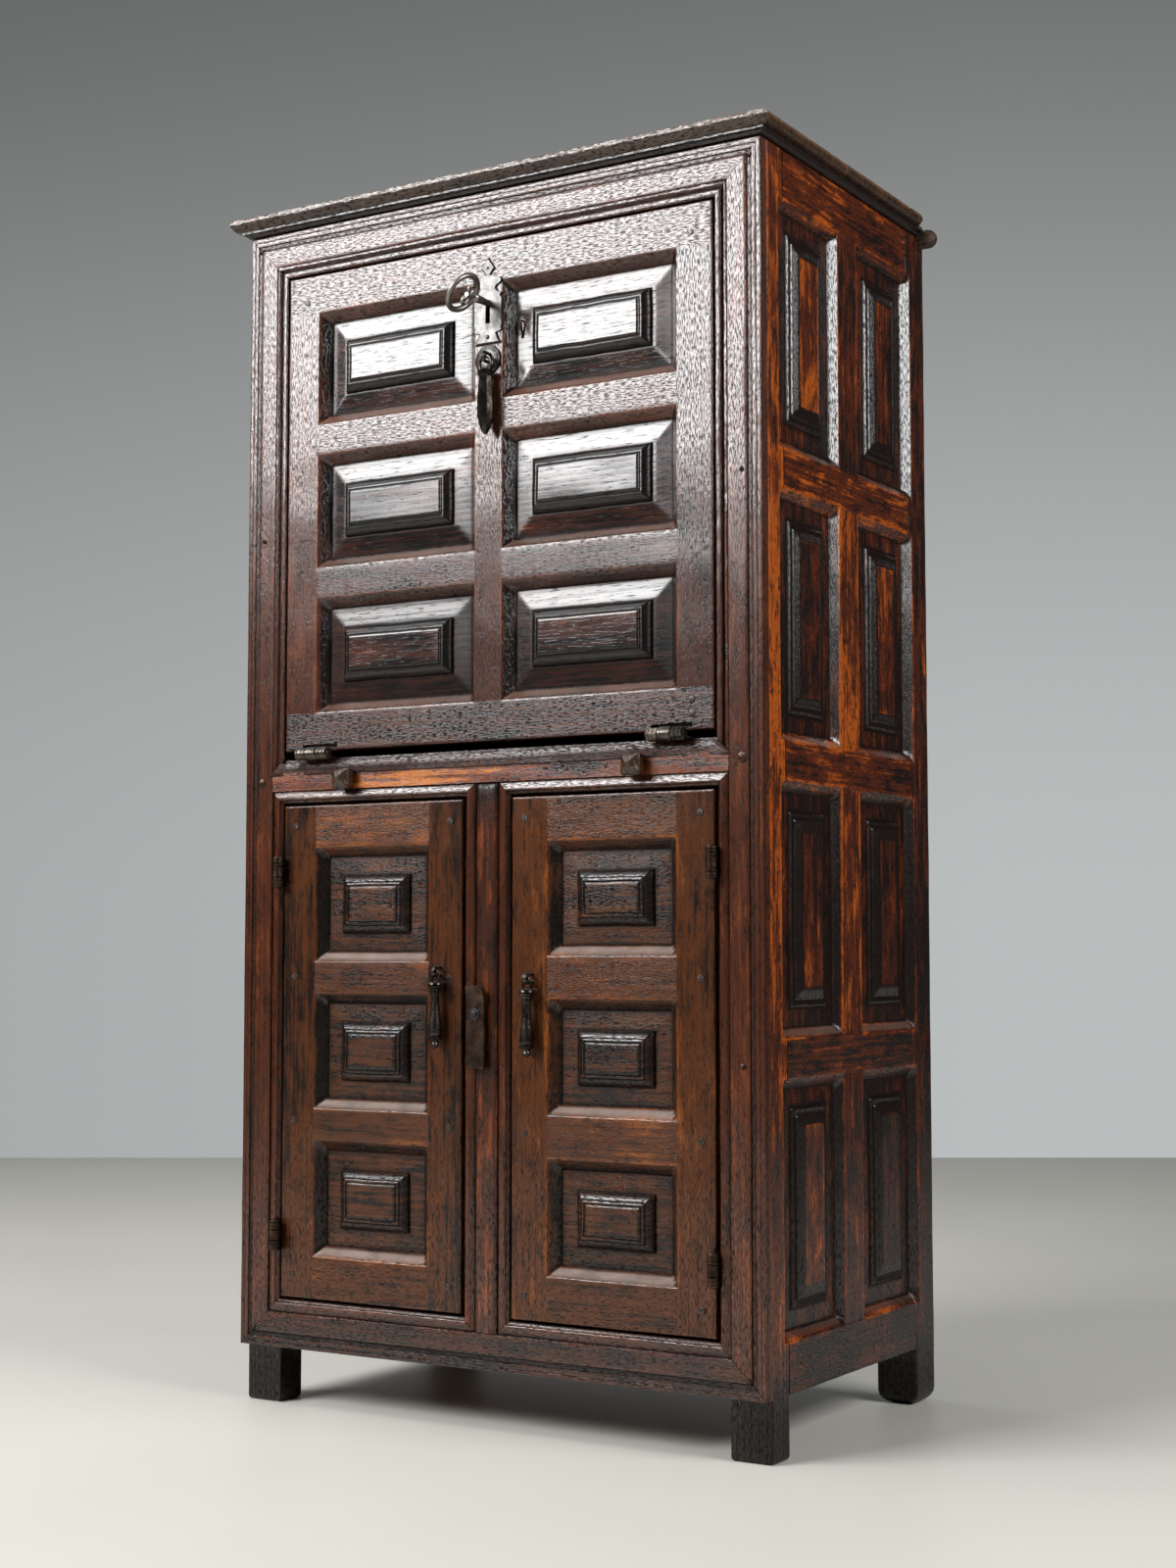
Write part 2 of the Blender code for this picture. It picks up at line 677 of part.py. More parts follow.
def middle_rail():
    """The rail between the doors and the fall, with a square hole for each loper."""
    reach = HALF - FRAME_WIDTH - FIT
    rail = box("middle_rail", (-reach, FACE, Z_BAND + FIT), (reach, FACE + FRAME_THICKNESS, Z_BAND_END - FIT))
    inner = POST_INNER - FIT
    backing = box("backing", (-inner, FACE + FRAME_THICKNESS, Z_DOOR_END + BACKING_SET),
                  (inner, FACE + RAIL_DEPTH, Z_FALL - BACKING_SET))
    combine(rail, "UNION", backing)
    holes = [loper_hole(sign, FACE - BACKING_SET, FACE + RAIL_DEPTH + BACKING_SET) for sign in (-1, 1)]
    finish(combine(rail, "DIFFERENCE", *holes), OAK_WARM)


def loper_hole(sign, y_start, y_end):
    half = LOPER_SECTION / 2 + RUNNING / 2
    return box("hole", (sign * LOPER_X - half, y_start, LOPER_Z - half),
               (sign * LOPER_X + half, y_end, LOPER_Z + half))


def mullion():
    """The upright between the doors, tenoned behind the planted rails."""
    front = FACE
    step = FACE + FRAME_THICKNESS
    back = FACE + RAIL_DEPTH
    low, high = Z_FRAME + FRAME_WIDTH + FIT, Z_BAND
    low_back, high_back = Z_DOOR - BACKING_SET + FIT, Z_DOOR_END + BACKING_SET - FIT
    outline = [(front, low), (step - FIT, low), (step - FIT, low_back), (back, low_back), (back, high_back),
               (step - FIT, high_back), (step - FIT, high), (front, high)]
    half = MULLION_WIDTH / 2 - FIT
    bar = prism("mullion", outline, 0, -half, half)
    pivot_z = Z_DOOR + BUTTON_RISE
    x = -BUTTON_FROM_MIDDLE
    hole = cylinder("hole", (x, FACE - NAIL_DEPTH, pivot_z), (x, FACE + NAIL_DEPTH + FIT, pivot_z),
                    NAIL_RADIUS + FIT)
    finish(combine(bar, "DIFFERENCE", hole), OAK_WARM)


def mouldings():
    section = moulding_section()
    finish(mitred_ring("fall_moulding", (-OPENING_HALF, Z_FALL), (OPENING_HALF, Z_FALL_END), section), OAK_GLOSSY)
    inner = MULLION_WIDTH / 2 + MOULDING_WIDTH
    for label, low, high in (("left", -OPENING_HALF, -inner), ("right", inner, OPENING_HALF)):
        piece = mitred_ring(f"{label}_door_moulding", (low, Z_DOOR), (high, Z_DOOR_END), section)
        finish(piece, OAK_DARK)


def top_outline(out):
    """The top board's plan: the nose runs round the front and dies in a round corner short of the back."""
    corner = []
    for i in range(5):
        angle = math.radians(22.5 * i)
        corner.append((HALF + out * math.cos(angle), BACK - TOP_NOSE_STOP - TOP_CORNER * (1 - math.sin(angle))))
    right = [(HALF + out, FACE - out)] + corner + [(HALF, BACK)]
    left = [(-x, y) for x, y in reversed(right)]
    return right + left


def batten_end(sign):
    """The worn round end of the batten under the top's back edge, which stands out past the side."""
    centre_y = BACK - BATTEN_END_RADIUS
    centre_z = Z_FRAME_END
    loops = []
    for reach, share in ((FIT, 1), (0.6 * BATTEN_END_REACH, 1), (0.87 * BATTEN_END_REACH, 0.82), (BATTEN_END_REACH, 0.5)):
        section = arc((centre_y, centre_z), share * BATTEN_END_RADIUS, 0, 340, 17)
        loops.append([(sign * (HALF + reach), y, z) for y, z in section])
    return loft("batten_end", loops, smooth=True)


def top_and_cornice():
    """The top board with its worn lip over a sloping nose, and the strip with a fillet and cove under its edge."""
    nose = ((0.52, 0), (0.70, 0.22), (0.86, 0.45), (0.97, 0.65), (1, 0.79), (0.96, 0.92), (0.84, 1))
    loops = []
    for share, rise in nose:
        z = Z_TOP + rise * TOP_THICKNESS
        loops.append([(x, y, z) for x, y in top_outline(share * TOP_OVERHANG)])
    finish(loft("top_board", loops), OAK_DARK)
    low = Z_FRAME_END + FIT
    high = Z_FRAME_END + FIT + CORNICE_HEIGHT
    hollow = CORNICE_HEIGHT - CORNICE_FILLET
    cove = arc((CORNICE_OVERHANG - 0.001, low), hollow, 165, 90, 4)
    section = [(-CORNICE_SEAT, high), (-CORNICE_SEAT, low)] + cove
    section += [(CORNICE_OVERHANG, low + hollow), (CORNICE_OVERHANG, high)]
    loops = []
    for x_sign, y, out_y in ((-1, BACK, 0), (-1, FACE, -1), (1, FACE, -1), (1, BACK, 0)):
        loops.append([(x_sign * (HALF + u), y + out_y * u, z) for u, z in section])
    strip_round = loft("cornice_moulding", loops)
    finish(combine(strip_round, "UNION", batten_end(-1), batten_end(1)), OAK_DARK)


def back_panel():
    """Vertical boards side by side between the back posts, with a V where they meet."""
    reach = POST_INNER - FIT
    board = 2 * reach / BACK_BOARDS
    front_edge = [(-reach, BACK_INNER), (reach, BACK_INNER)]
    back_edge = [(reach, BACK_INNER + BACK_THICKNESS)]
    for i in range(1, BACK_BOARDS):
        x = reach - i * board
        back_edge.append((x + BACK_GROOVE, BACK_INNER + BACK_THICKNESS))
        back_edge.append((x, BACK_INNER + BACK_THICKNESS - BACK_GROOVE))
        back_edge.append((x - BACK_GROOVE, BACK_INNER + BACK_THICKNESS))
    back_edge.append((-reach, BACK_INNER + BACK_THICKNESS))
    finish(prism("back_panel", front_edge + back_edge, 2, Z_FRAME, Z_TOP - FIT), OAK_RAW)


def level_board(name, z_low, z_high, look):
    """A level board between the sides, notched round the four posts."""
    wide, narrow = SIDE_INNER - FIT, POST_INNER - FIT
    front, front_step = FACE + RAIL_DEPTH + FIT, FRONT_POST_BACK + FIT
    back_step, back = BACK_POST_FRONT - FIT, BACK_INNER - FIT
    right = [(narrow, front), (narrow, front_step), (wide, front_step), (wide, back_step), (narrow, back_step),
             (narrow, back)]
    left = [(-x, y) for x, y in reversed(right)]
    finish(prism(name, right + left, 2, z_low, z_high), look)


def inner_boards():
    level_board("partition_board", PARTITION_BOTTOM, PARTITION_TOP, OAK_RAW)
    floor_top = Z_DOOR - BACKING_SET
    level_board("bottom_board", floor_top - BOARD_THICKNESS, floor_top, OAK_RAW)
    reach = SIDE_INNER - FIT
    low = Z_BAND - GUIDE_DROP
    y_front = FACE + GUIDE_FROM_FACE
    guide = box("loper_guide", (-reach, y_front, low), (reach, y_front + GUIDE_THICKNESS, PARTITION_BOTTOM - FIT))
    past = y_front + GUIDE_THICKNESS + BACKING_SET
    holes = [loper_hole(sign, y_front - BACKING_SET, past) for sign in (-1, 1)]
    finish(combine(guide, "DIFFERENCE", *holes), OAK_RAW)


def loper(label, sign):
    """A square bar that draws out by a pyramid head."""
    x = sign * LOPER_X
    head_back = FACE - LOPER_HEAD_GAP
    head_front = head_back - LOPER_HEAD_BLOCK
    stations = ((FACE + LOPER_LENGTH, LOPER_SECTION), (head_back, LOPER_SECTION), (head_back, LOPER_HEAD),
                (head_front, LOPER_HEAD), (head_front - LOPER_HEAD_POINT, LOPER_HEAD_TIP))
    loops = []
    for y, size in stations:
        half = size / 2
        loops.append([(x - half, y, LOPER_Z - half), (x + half, y, LOPER_Z - half),
                      (x + half, y, LOPER_Z + half), (x - half, y, LOPER_Z + half)])
    piece = finish(loft(f"{label}_loper", loops), OAK_WARM)
    hang(joint_empty(f"{label}_loper_slide", (x, FACE, LOPER_Z)), piece)


def fall_grid():
    """Edges of the fall's members across and up."""
    width = (2 * FALL_HALF - 2 * FALL_STILE - FALL_MUNTIN) / 2
    height = (FALL_TOP - FALL_BOTTOM - FALL_TOP_RAIL - FALL_BOTTOM_RAIL - 2 * FALL_CROSS_RAIL) / 3
    x_cuts = cuts(-FALL_HALF, [FALL_STILE, FALL_MUNTIN, FALL_STILE], [width] * 2)
    z_cuts = cuts(FALL_BOTTOM, [FALL_BOTTOM_RAIL, FALL_CROSS_RAIL, FALL_CROSS_RAIL, FALL_TOP_RAIL], [height] * 3)
    return x_cuts, z_cuts


def panel_set(label, x_cuts, z_cuts, front, rings, look):
    """The raised panels of a frame, numbered from the top left."""
    pieces = []
    for row in range(len(z_cuts) // 2 - 1, 0, -1):
        for column in range(1, len(x_cuts) // 2):
            low = (x_cuts[2 * column - 1], z_cuts[2 * row - 1])
            high = (x_cuts[2 * column], z_cuts[2 * row])
            name = f"{label}_panel_{len(pieces) + 1}"
            pieces.append(finish(panel(name, low, high, front, rings), look))
    return pieces


def fall(axis):
    x_cuts, z_cuts = fall_grid()
    frame = panelled_frame("fall_frame", x_cuts, z_cuts, FALL_FRONT, opening_rings(FALL_THICKNESS))
    notches = [hinge_notch(sign) for sign in (-1, 1)]
    combine(frame, "DIFFERENCE", keyhole("hole", FALL_FRONT - BACKING_SET, FALL_BACK + BACKING_SET), *notches)
    finish(frame, OAK_GLOSSY)
    panels = panel_set("fall", x_cuts, z_cuts, FALL_FRONT, raised_rings(FALL_PANEL_BORDER, FALL_PANEL_STEP),
                       OAK_GLOSSY)
    hang(axis, frame, *panels)


def hinge_notch(sign):
    """The notch in the fall's lower edge that clears a hinge barrel."""
    half = FALL_BARREL_LENGTH / 2 + FALL_NOTCH_MARGIN
    x = sign * FALL_HINGE_X
    return box("notch", (x - half, FALL_FRONT - FALL_NOTCH_MARGIN, FALL_BOTTOM - FALL_NOTCH_MARGIN),
               (x + half, FALL_FRONT + FALL_NOTCH_DEPTH, FALL_BOTTOM + FALL_NOTCH_HEIGHT))


def keyhole(name, y_start, y_end):
    """A round hole for the key's stem with a slot below it for the bit."""
    half = KEYHOLE_SLOT_WIDTH / 2
    start = math.degrees(math.asin(half / KEYHOLE_RADIUS))
    head = arc((0, KEY_Z), KEYHOLE_RADIUS, -90 + start, 270 - start, 16)
    foot = [(-half, KEY_Z - KEYHOLE_SLOT_DROP), (half, KEY_Z - KEYHOLE_SLOT_DROP)]
    return prism(name, head + foot, 1, y_start, y_end)


def lock_plate_outline():
    """Right half of the pierced lock plate, from the bottom middle to the tip of its diamond."""
    w = PLATE_HALF_WIDTH
    base = KEY_Z - PLATE_BELOW_KEY
    foot = [(0.0, base), (0.84 * w, base), (0.68 * w, base + 0.0070), (0.56 * w, base + 0.0150)]
    cusp = [(0.80 * w, base + 0.0160), (w, base + 0.0172), (0.94 * w, base + 0.0205), (w, base + 0.0240)]
    shoulder = [(w, base + 0.0600), (0.86 * w, base + 0.0640), (0.98 * w, base + 0.0680)]
    bite = arc((0.80 * w, base + 0.0750), 0.0066, 300, 75, 8)
    lobe = arc((0.74 * w, base + 0.0855), 0.0052, 300, 480, 8)
    hollow = arc((0.40 * w, base + 0.0905), 0.0033, 20, -170, 6)
    neck = [(0.10 * w, base + 0.0945)]
    diamond = [(0.0100, base + 0.1030), (0.0, base + 0.1166)]
    return foot + cusp + shoulder + bite + lobe + hollow + neck + diamond


def lock_plate(axis):
    right = lock_plate_outline()
    left = [(-x, z) for x, z in reversed(right[1:-1])]
    back = FALL_FRONT - FIT
    plate = prism("escutcheon", right + left, 1, back - PLATE_THICKNESS, back)
    combine(plate, "DIFFERENCE", keyhole("hole", back - PLATE_THICKNESS - BACKING_SET, back + BACKING_SET))
    hang(axis, finish(plate, IRON))


def lock(axis):
    """The lock case on the back of the fall, open towards it, and the bolt that rises from its top."""
    front = FALL_BACK + FIT
    top = BOLT_TOP
    low = (-LOCK_HALF_WIDTH, front, top - LOCK_HEIGHT)
    high = (LOCK_HALF_WIDTH, front + LOCK_DEPTH, top)
    case = box("lock_case", low, high)
    hollow = box("hollow", (low[0] + LOCK_WALL, front - LOCK_WALL, low[2] + LOCK_WALL),
                 (high[0] - LOCK_WALL, high[1] - LOCK_WALL, high[2] - LOCK_WALL))
    slot = box("slot", (-BOLT_HALF_WIDTH - RUNNING / 2, BOLT_FRONT - RUNNING / 2, top - 2 * LOCK_WALL),
               (BOLT_HALF_WIDTH + RUNNING / 2, BOLT_BACK + RUNNING / 2, top + LOCK_WALL))
    finish(combine(case, "DIFFERENCE", hollow, slot), IRON)
    tail = BOLT_TAIL
    notch = BOLT_HALF_WIDTH / 2
    outline = [(-BOLT_HALF_WIDTH, tail), (-notch, tail), (-notch, tail + notch), (notch, tail + notch), (notch, tail),
               (BOLT_HALF_WIDTH, tail), (BOLT_HALF_WIDTH, top), (-BOLT_HALF_WIDTH, top)]
    bolt = finish(prism("lock_bolt", outline, 1, BOLT_FRONT, BOLT_BACK), IRON)
    hang(axis, case)
    hang(joint_empty("lock_bolt_slide", (0, BOLT_FRONT, top), axis), bolt)


def key(axis):
    """A key in the lock: round bow with a heart of two scrolls, collared stem and a warded bit."""
    bow_y = FACE - KEY_BOW_FROM_FACE
    bow = ring("key", (0, bow_y, KEY_Z), KEY_BOW_RADIUS, KEY_BOW_WIRE, (1, 0, 0), 28, 8)
    stem_start = bow_y + 0.004
    stem_end = FALL_BACK + LOCK_DEPTH - 2 * LOCK_WALL
    stem = cylinder("stem", (0, stem_start, KEY_Z), (0, stem_end, KEY_Z), KEY_STEM_RADIUS, 16)
    collar_y = bow_y + KEY_BOW_RADIUS + KEY_BOW_WIRE
    collar = cylinder("collar", (0, collar_y, KEY_Z), (0, collar_y + 0.005, KEY_Z), KEY_STEM_RADIUS * 1.4, 16)
    scroll_radius = KEY_BOW_RADIUS * 0.36
    scroll_y = bow_y + KEY_BOW_RADIUS * 0.42
    scrolls = []
    for sign in (-1, 1):
        centre = (0, scroll_y, KEY_Z + sign * scroll_radius)
        scrolls.append(ring("scroll", centre, scroll_radius, KEY_BOW_WIRE * 0.7, (1, 0, 0), 18, 8))
    half = KEY_BIT_THICKNESS / 2
    bit_end = stem_end - 0.003
    bit = box("bit", (-half, bit_end - KEY_BIT_WIDTH, KEY_Z - KEY_BIT_REACH), (half, bit_end, KEY_Z))
    ward_y = bit_end - KEY_BIT_WIDTH * 0.6
    ward = box("ward", (-2 * half, ward_y, KEY_Z - KEY_BIT_REACH * 1.1),
               (2 * half, ward_y + KEY_BIT_WIDTH * 0.25, KEY_Z - KEY_BIT_REACH * 0.6))
    combine(bow, "UNION", stem, collar, *scrolls, bit)
    combine(bow, "DIFFERENCE", ward)
    pivot = Vector((0, bow_y, KEY_Z))
    turn = Matrix.Translation(pivot) @ Matrix.Rotation(KEY_REST_TILT, 4, "Y") @ Matrix.Translation(-pivot)
    bow.data.transform(turn)
    hang(joint_empty("key_axis", (0, FALL_FRONT, KEY_Z), axis), finish(bow, IRON))


def staple_path(pivot, back, radius):
    """A hairpin round the pivot in the vertical plane, with both legs running back into the wood."""
    x, y, z = pivot
    path = [(x, back, z + radius)]
    for i in range(9):
        angle = math.pi / 2 + math.pi * i / 8
        path.append((x, y + radius * math.cos(angle), z + radius * math.sin(angle)))
    path.append((x, back, z - radius))
    return path


def hang_radius(wire):
    """Distance from a handle's pivot to the middle of the staple's wire."""
    return wire + RING_PLAY + STAPLE_WIRE


def drop_handle(name, pivot, ring_radius, wire, profile, sides):
    """A ring that hangs in a staple, with a turned or faceted drop under it."""
    x, y, z = pivot
    handle = ring(name, (x, y, z - ring_radius), ring_radius, wire, (0, 1, 0), 20, 8)
    start = 2 * ring_radius - wire * 0.4
    drop = turned("drop", (x, y, z - start), profile, sides)
    return combine(handle, "UNION", drop)


def fall_handle(axis):
    """A faceted bullet on a rosette under the lock plate."""
    pivot_z = FALL_TOP - FALL_HANDLE_DROP
    radius = hang_radius(STAPLE_WIRE)
    back = FALL_FRONT - FIT
    pivot = (0, back - PLATE_THICKNESS - HANDLE_STANDOFF - FALL_HANDLE_RADIUS, pivot_z)
    rosette_z = pivot_z - 0.0012
    outline = []
    for k in range(24):
        angle = 2 * math.pi * k / 24
        reach = ROSETTE_RADIUS * (1 if k % 2 else 0.95)
        outline.append((reach * math.cos(angle), rosette_z + reach * math.sin(angle)))
    plate = prism("fall_handle_plate", outline, 1, back - PLATE_THICKNESS, back)
    staple = tube("staple", staple_path(pivot, back - PLATE_THICKNESS / 2, radius), STAPLE_WIRE)
    hang(axis, finish(combine(plate, "UNION", staple), IRON))
    length, r = FALL_HANDLE_LENGTH, FALL_HANDLE_RADIUS
    profile = [(0.55 * r, 0), (0.95 * r, 0.0018), (r, 0.0045), (0.8 * r, 0.0065), (0.97 * r, 0.0085), (0.76 * r, 0.011),
               (0.85 * r, 0.28 * length), (r, 0.62 * length), (0.85 * r, 0.78 * length), (0.52 * r, 0.92 * length),
               (0.14 * r, length)]
    piece = drop_handle("fall_handle", pivot, FALL_RING_RADIUS, STAPLE_WIRE, profile, 8)
    hang(joint_empty("fall_handle_axis", pivot, axis), finish(piece, IRON))


def door_handle_pivot(from_middle, rise):
    return (from_middle, DOOR_FRONT - DOOR_HANDLE_RADIUS - HANDLE_STANDOFF, Z_DOOR + rise)


def door_handle(label, pivot, axis):
    """A small turned drop."""
    length, r = DOOR_HANDLE_LENGTH, DOOR_HANDLE_RADIUS
    profile = [(0.45 * r, 0), (0.85 * r, 0.0015), (r, 0.004), (0.85 * r, 0.0065), (0.95 * r, 0.009), (0.7 * r, 0.0115),
               (0.82 * r, 0.014), (0.55 * r, 0.018), (0.6 * r, 0.32 * length), (0.84 * r, 0.78 * length),
               (0.74 * r, 0.83 * length), (0.86 * r, 0.87 * length), (0.5 * r, 0.91 * length),
               (0.52 * r, 0.94 * length), (0.18 * r, length)]
    piece = drop_handle(f"{label}_door_handle", pivot, DOOR_RING_RADIUS, STAPLE_WIRE * 0.8, profile, 12)
    hang(joint_empty(f"{label}_door_handle_axis", pivot, axis), finish(piece, IRON))


def door(label, sign, cross_rail, pivot, axis):
    """A door with three raised panels, and the staple of its handle."""
    x0, x1 = sorted((sign * DOOR_INNER, sign * DOOR_OUTER))
    x_cuts = cuts(x0, [DOOR_STILE, DOOR_STILE], [x1 - x0 - 2 * DOOR_STILE])
    height = (DOOR_TOP - DOOR_BOTTOM - DOOR_TOP_RAIL - DOOR_BOTTOM_RAIL - 2 * cross_rail) / 3
    z_cuts = cuts(DOOR_BOTTOM, [DOOR_BOTTOM_RAIL, cross_rail, cross_rail, DOOR_TOP_RAIL], [height] * 3)
    frame = panelled_frame(f"{label}_door_frame", x_cuts, z_cuts, DOOR_FRONT, opening_rings(DOOR_THICKNESS))
    path = staple_path(pivot, DOOR_FRONT + DOOR_THICKNESS / 2, hang_radius(STAPLE_WIRE * 0.8))
    finish(combine(frame, "UNION", tube("staple", path, STAPLE_WIRE)), OAK_DARK)
    panels = panel_set(f"{label}_door", x_cuts, z_cuts, DOOR_FRONT, raised_rings(DOOR_PANEL_BORDER, DOOR_PANEL_STEP),
                       OAK_DARK)
    hang(axis, frame, *panels)


def hinge(label, moving, axis, place, size):
    """A barrel hinge of three knuckles: the outer two and the pin on the case, the middle one on the leaf.

    It is laid out along X with its leaves running back, the case leaf low, then put in place.
    """
    radius, length, thickness, reach, gap = size
    third = length / 3
    clear = radius + KNUCKLE_GAP
    case_low = -gap / 2 + FIT
    leaf_high = gap / 2 - FIT
    pieces = []
    for sign in (-1, 1):
        start, end = sign * (third / 2 + KNUCKLE_GAP / 2), sign * length / 2
        pieces.append(cylinder("knuckle", (start, 0, 0), (end, 0, 0), radius))
        tab_x = sorted((start, end))
        pieces.append(box("tab", (tab_x[0], 0, case_low), (tab_x[1], clear + thickness, case_low + thickness)))
    pieces.append(box("plate", (-length / 2, clear, case_low), (length / 2, reach, case_low + thickness)))
    pin = cylinder(f"{label}_hinge_case_leaf", (-length * 0.45, 0, 0), (length * 0.45, 0, 0), PIN_RADIUS, 12)
    case_leaf = combine(pin, "UNION", *pieces)
    half = third / 2 - KNUCKLE_GAP / 2
    knuckle = cylinder(f"{label}_hinge_{moving}_leaf", (-half, 0, 0), (half, 0, 0), radius)
    tab = box("tab", (-half, radius * 0.5, leaf_high - thickness), (half, clear + thickness, leaf_high))
    plate = box("plate", (-length / 2, clear, leaf_high - thickness), (length / 2, reach, leaf_high))
    combine(knuckle, "UNION", tab, plate)
    bore = cylinder("bore", (-length, 0, 0), (length, 0, 0), PIN_RADIUS + FIT, 12)
    combine(knuckle, "DIFFERENCE", bore)
    for piece in (case_leaf, knuckle):
        piece.data.transform(place)
        finish(piece, IRON)
    hang(axis, knuckle)


def hinges(fall_axis, door_axes):
    size = (FALL_BARREL_RADIUS, FALL_BARREL_LENGTH, FALL_LEAF_THICKNESS, FALL_HINGE_SET + FALL_LEAF_REACH,
            FALL_BOTTOM_GAP)
    for label, sign in (("left", -1), ("right", 1)):
        place = Matrix.Translation(FALL_AXIS + Vector((sign * FALL_HINGE_X, 0, 0)))
        hinge(f"{label}_fall", "fall", fall_axis, place, size)
    size = (DOOR_BARREL_RADIUS, DOOR_BARREL_LENGTH, DOOR_LEAF_THICKNESS, DOOR_HINGE_SET + DOOR_LEAF_REACH, DOOR_GAP)
    heights = {"lower": Z_DOOR + DOOR_HINGE_RISE, "upper": Z_DOOR_END - DOOR_HINGE_DROP}
    for label, sign in (("left", -1), ("right", 1)):
        # The case leaf lies on the outer side of the gap, so the left hinge turns one way and the right the other.
        turn = Matrix.Rotation(-sign * math.pi / 2, 4, "Y")
        for level, z in heights.items():
            place = Matrix.Translation((sign * DOOR_AXIS_X, DOOR_AXIS_Y, z)) @ turn
            hinge(f"{label}_{level}", "door", door_axes[label], place, size)


def turn_button():
    """A wide iron strap on a nail in the mullion, hanging clear of both doors, its upper end bent forwards."""
    x = -BUTTON_FROM_MIDDLE
    pivot_z = Z_DOOR + BUTTON_RISE
    back = FACE - BUTTON_GAP
    stations = ((-BUTTON_LONG_ARM, 0.93, 0), (0.02 - BUTTON_LONG_ARM, 1, 0), (BUTTON_SHORT_ARM * 0.4, 0.97, 0),
                (BUTTON_SHORT_ARM * 0.75, 0.95, 0.45), (BUTTON_SHORT_ARM, 0.85, 1))
    loops = []
    for rise, share, bend in stations:
        w = share * BUTTON_HALF_WIDTH
        y = back - bend * BUTTON_BEND
        front = y - BUTTON_THICKNESS
        section = ((-w, y), (-w, front + BUTTON_EDGE), (BUTTON_EDGE - w, front), (w - BUTTON_EDGE, front),
                   (w, front + BUTTON_EDGE), (w, y))
        loops.append([(x + u, depth, pivot_z + rise) for u, depth in section])
    bar = loft("turn_button", loops)
    hole = cylinder("hole", (x, back - 2 * BUTTON_THICKNESS, pivot_z), (x, back + BUTTON_THICKNESS, pivot_z),
                    NAIL_RADIUS + FIT)
    combine(bar, "DIFFERENCE", hole)
    hang(joint_empty("turn_button_axis", (x, back, pivot_z)), finish(bar, IRON_RUSTY))
    head_back = back - BUTTON_THICKNESS - FIT
    shank = cylinder("turn_button_nail", (x, head_back - NAIL_RADIUS, pivot_z), (x, FACE + NAIL_DEPTH, pivot_z),
                     NAIL_RADIUS)
    loops = []
    for radius, y in ((0.6, head_back - 0.004), (0.9, head_back - 0.0025), (1, head_back)):
        loops.append([(u, y, z) for u, z in arc((x, pivot_z), radius * NAIL_HEAD_RADIUS, 0, 345, 23)])
    head = loft("head", loops)
    finish(combine(shank, "UNION", head), IRON_RUSTY)


def build():
    clear_scene()
    posts()
    case_side("left", -1)
    case_side("right", 1)
    face_frame()
    middle_rail()
    mullion()
    mouldings()
    top_and_cornice()
    back_panel()
    inner_boards()
    loper("left", -1)
    loper("right", 1)
    fall_axis = joint_empty("fall_axis", FALL_AXIS)
    fall(fall_axis)
    lock_plate(fall_axis)
    lock(fall_axis)
    key(fall_axis)
    fall_handle(fall_axis)
    door_axes = {}
    doors = (("left", -1, LEFT_DOOR_CROSS_RAIL, door_handle_pivot(-LEFT_HANDLE_FROM_MIDDLE, LEFT_HANDLE_RISE)),
             ("right", 1, RIGHT_DOOR_CROSS_RAIL, door_handle_pivot(RIGHT_HANDLE_FROM_MIDDLE, RIGHT_HANDLE_RISE)))
    for label, sign, cross_rail, pivot in doors:
        axis = joint_empty(f"{label}_door_axis", (sign * DOOR_AXIS_X, DOOR_AXIS_Y, Z_DOOR))
        door(label, sign, cross_rail, pivot, axis)
        door_handle(label, pivot, axis)
        door_axes[label] = axis
    hinges(fall_axis, door_axes)
    turn_button()


build()
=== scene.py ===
"""Looks of a fall-front cabinet in old waxed oak with wrought-iron fittings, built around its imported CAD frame."""

import math

import bpy
import numpy as np
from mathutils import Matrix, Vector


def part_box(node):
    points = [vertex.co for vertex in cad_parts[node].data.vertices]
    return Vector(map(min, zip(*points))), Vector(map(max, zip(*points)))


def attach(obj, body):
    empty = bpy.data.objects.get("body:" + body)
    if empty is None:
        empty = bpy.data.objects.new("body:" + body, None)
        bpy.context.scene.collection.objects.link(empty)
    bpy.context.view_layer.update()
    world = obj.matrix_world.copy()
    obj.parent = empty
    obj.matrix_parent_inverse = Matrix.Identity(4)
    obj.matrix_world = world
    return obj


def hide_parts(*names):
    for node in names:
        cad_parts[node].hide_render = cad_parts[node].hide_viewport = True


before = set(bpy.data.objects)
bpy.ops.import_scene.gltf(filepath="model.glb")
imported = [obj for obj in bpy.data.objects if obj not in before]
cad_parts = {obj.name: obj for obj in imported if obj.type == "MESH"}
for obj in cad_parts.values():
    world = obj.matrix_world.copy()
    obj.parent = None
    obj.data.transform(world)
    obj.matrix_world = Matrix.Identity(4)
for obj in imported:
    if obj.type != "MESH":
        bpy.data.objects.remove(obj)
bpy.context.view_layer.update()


# Corner posts
# Four square oak posts carry the case, and their lower ends are the feet. They were sawn and planed by hand
# and chamfered beside each side panel; wax and handling left them orange where the dark finish wore off.

def linear(code):
    """An sRGB hex colour as linear red, green, blue and alpha: the inverse of the sRGB curve."""
    part = np.array([int(code[i:i + 2], 16) for i in (1, 3, 5)]) / 255
    value = np.where(part <= 0.04045, part / 12.92, ((part + 0.055) / 1.055) ** 2.4)
    return (*value.tolist(), 1.0)


def add_node(material, kind, inputs=None, **settings):
    """One shader node with its settings; an input takes a value, or the output of another node."""
    node = material.node_tree.nodes.new("ShaderNode" + kind)
    for key, value in settings.items():
        setattr(node, key, value)
    for socket, value in (inputs or {}).items():
        if isinstance(value, bpy.types.NodeSocket):
            material.node_tree.links.new(value, node.inputs[socket])
        else:
            node.inputs[socket].default_value = value
    return node


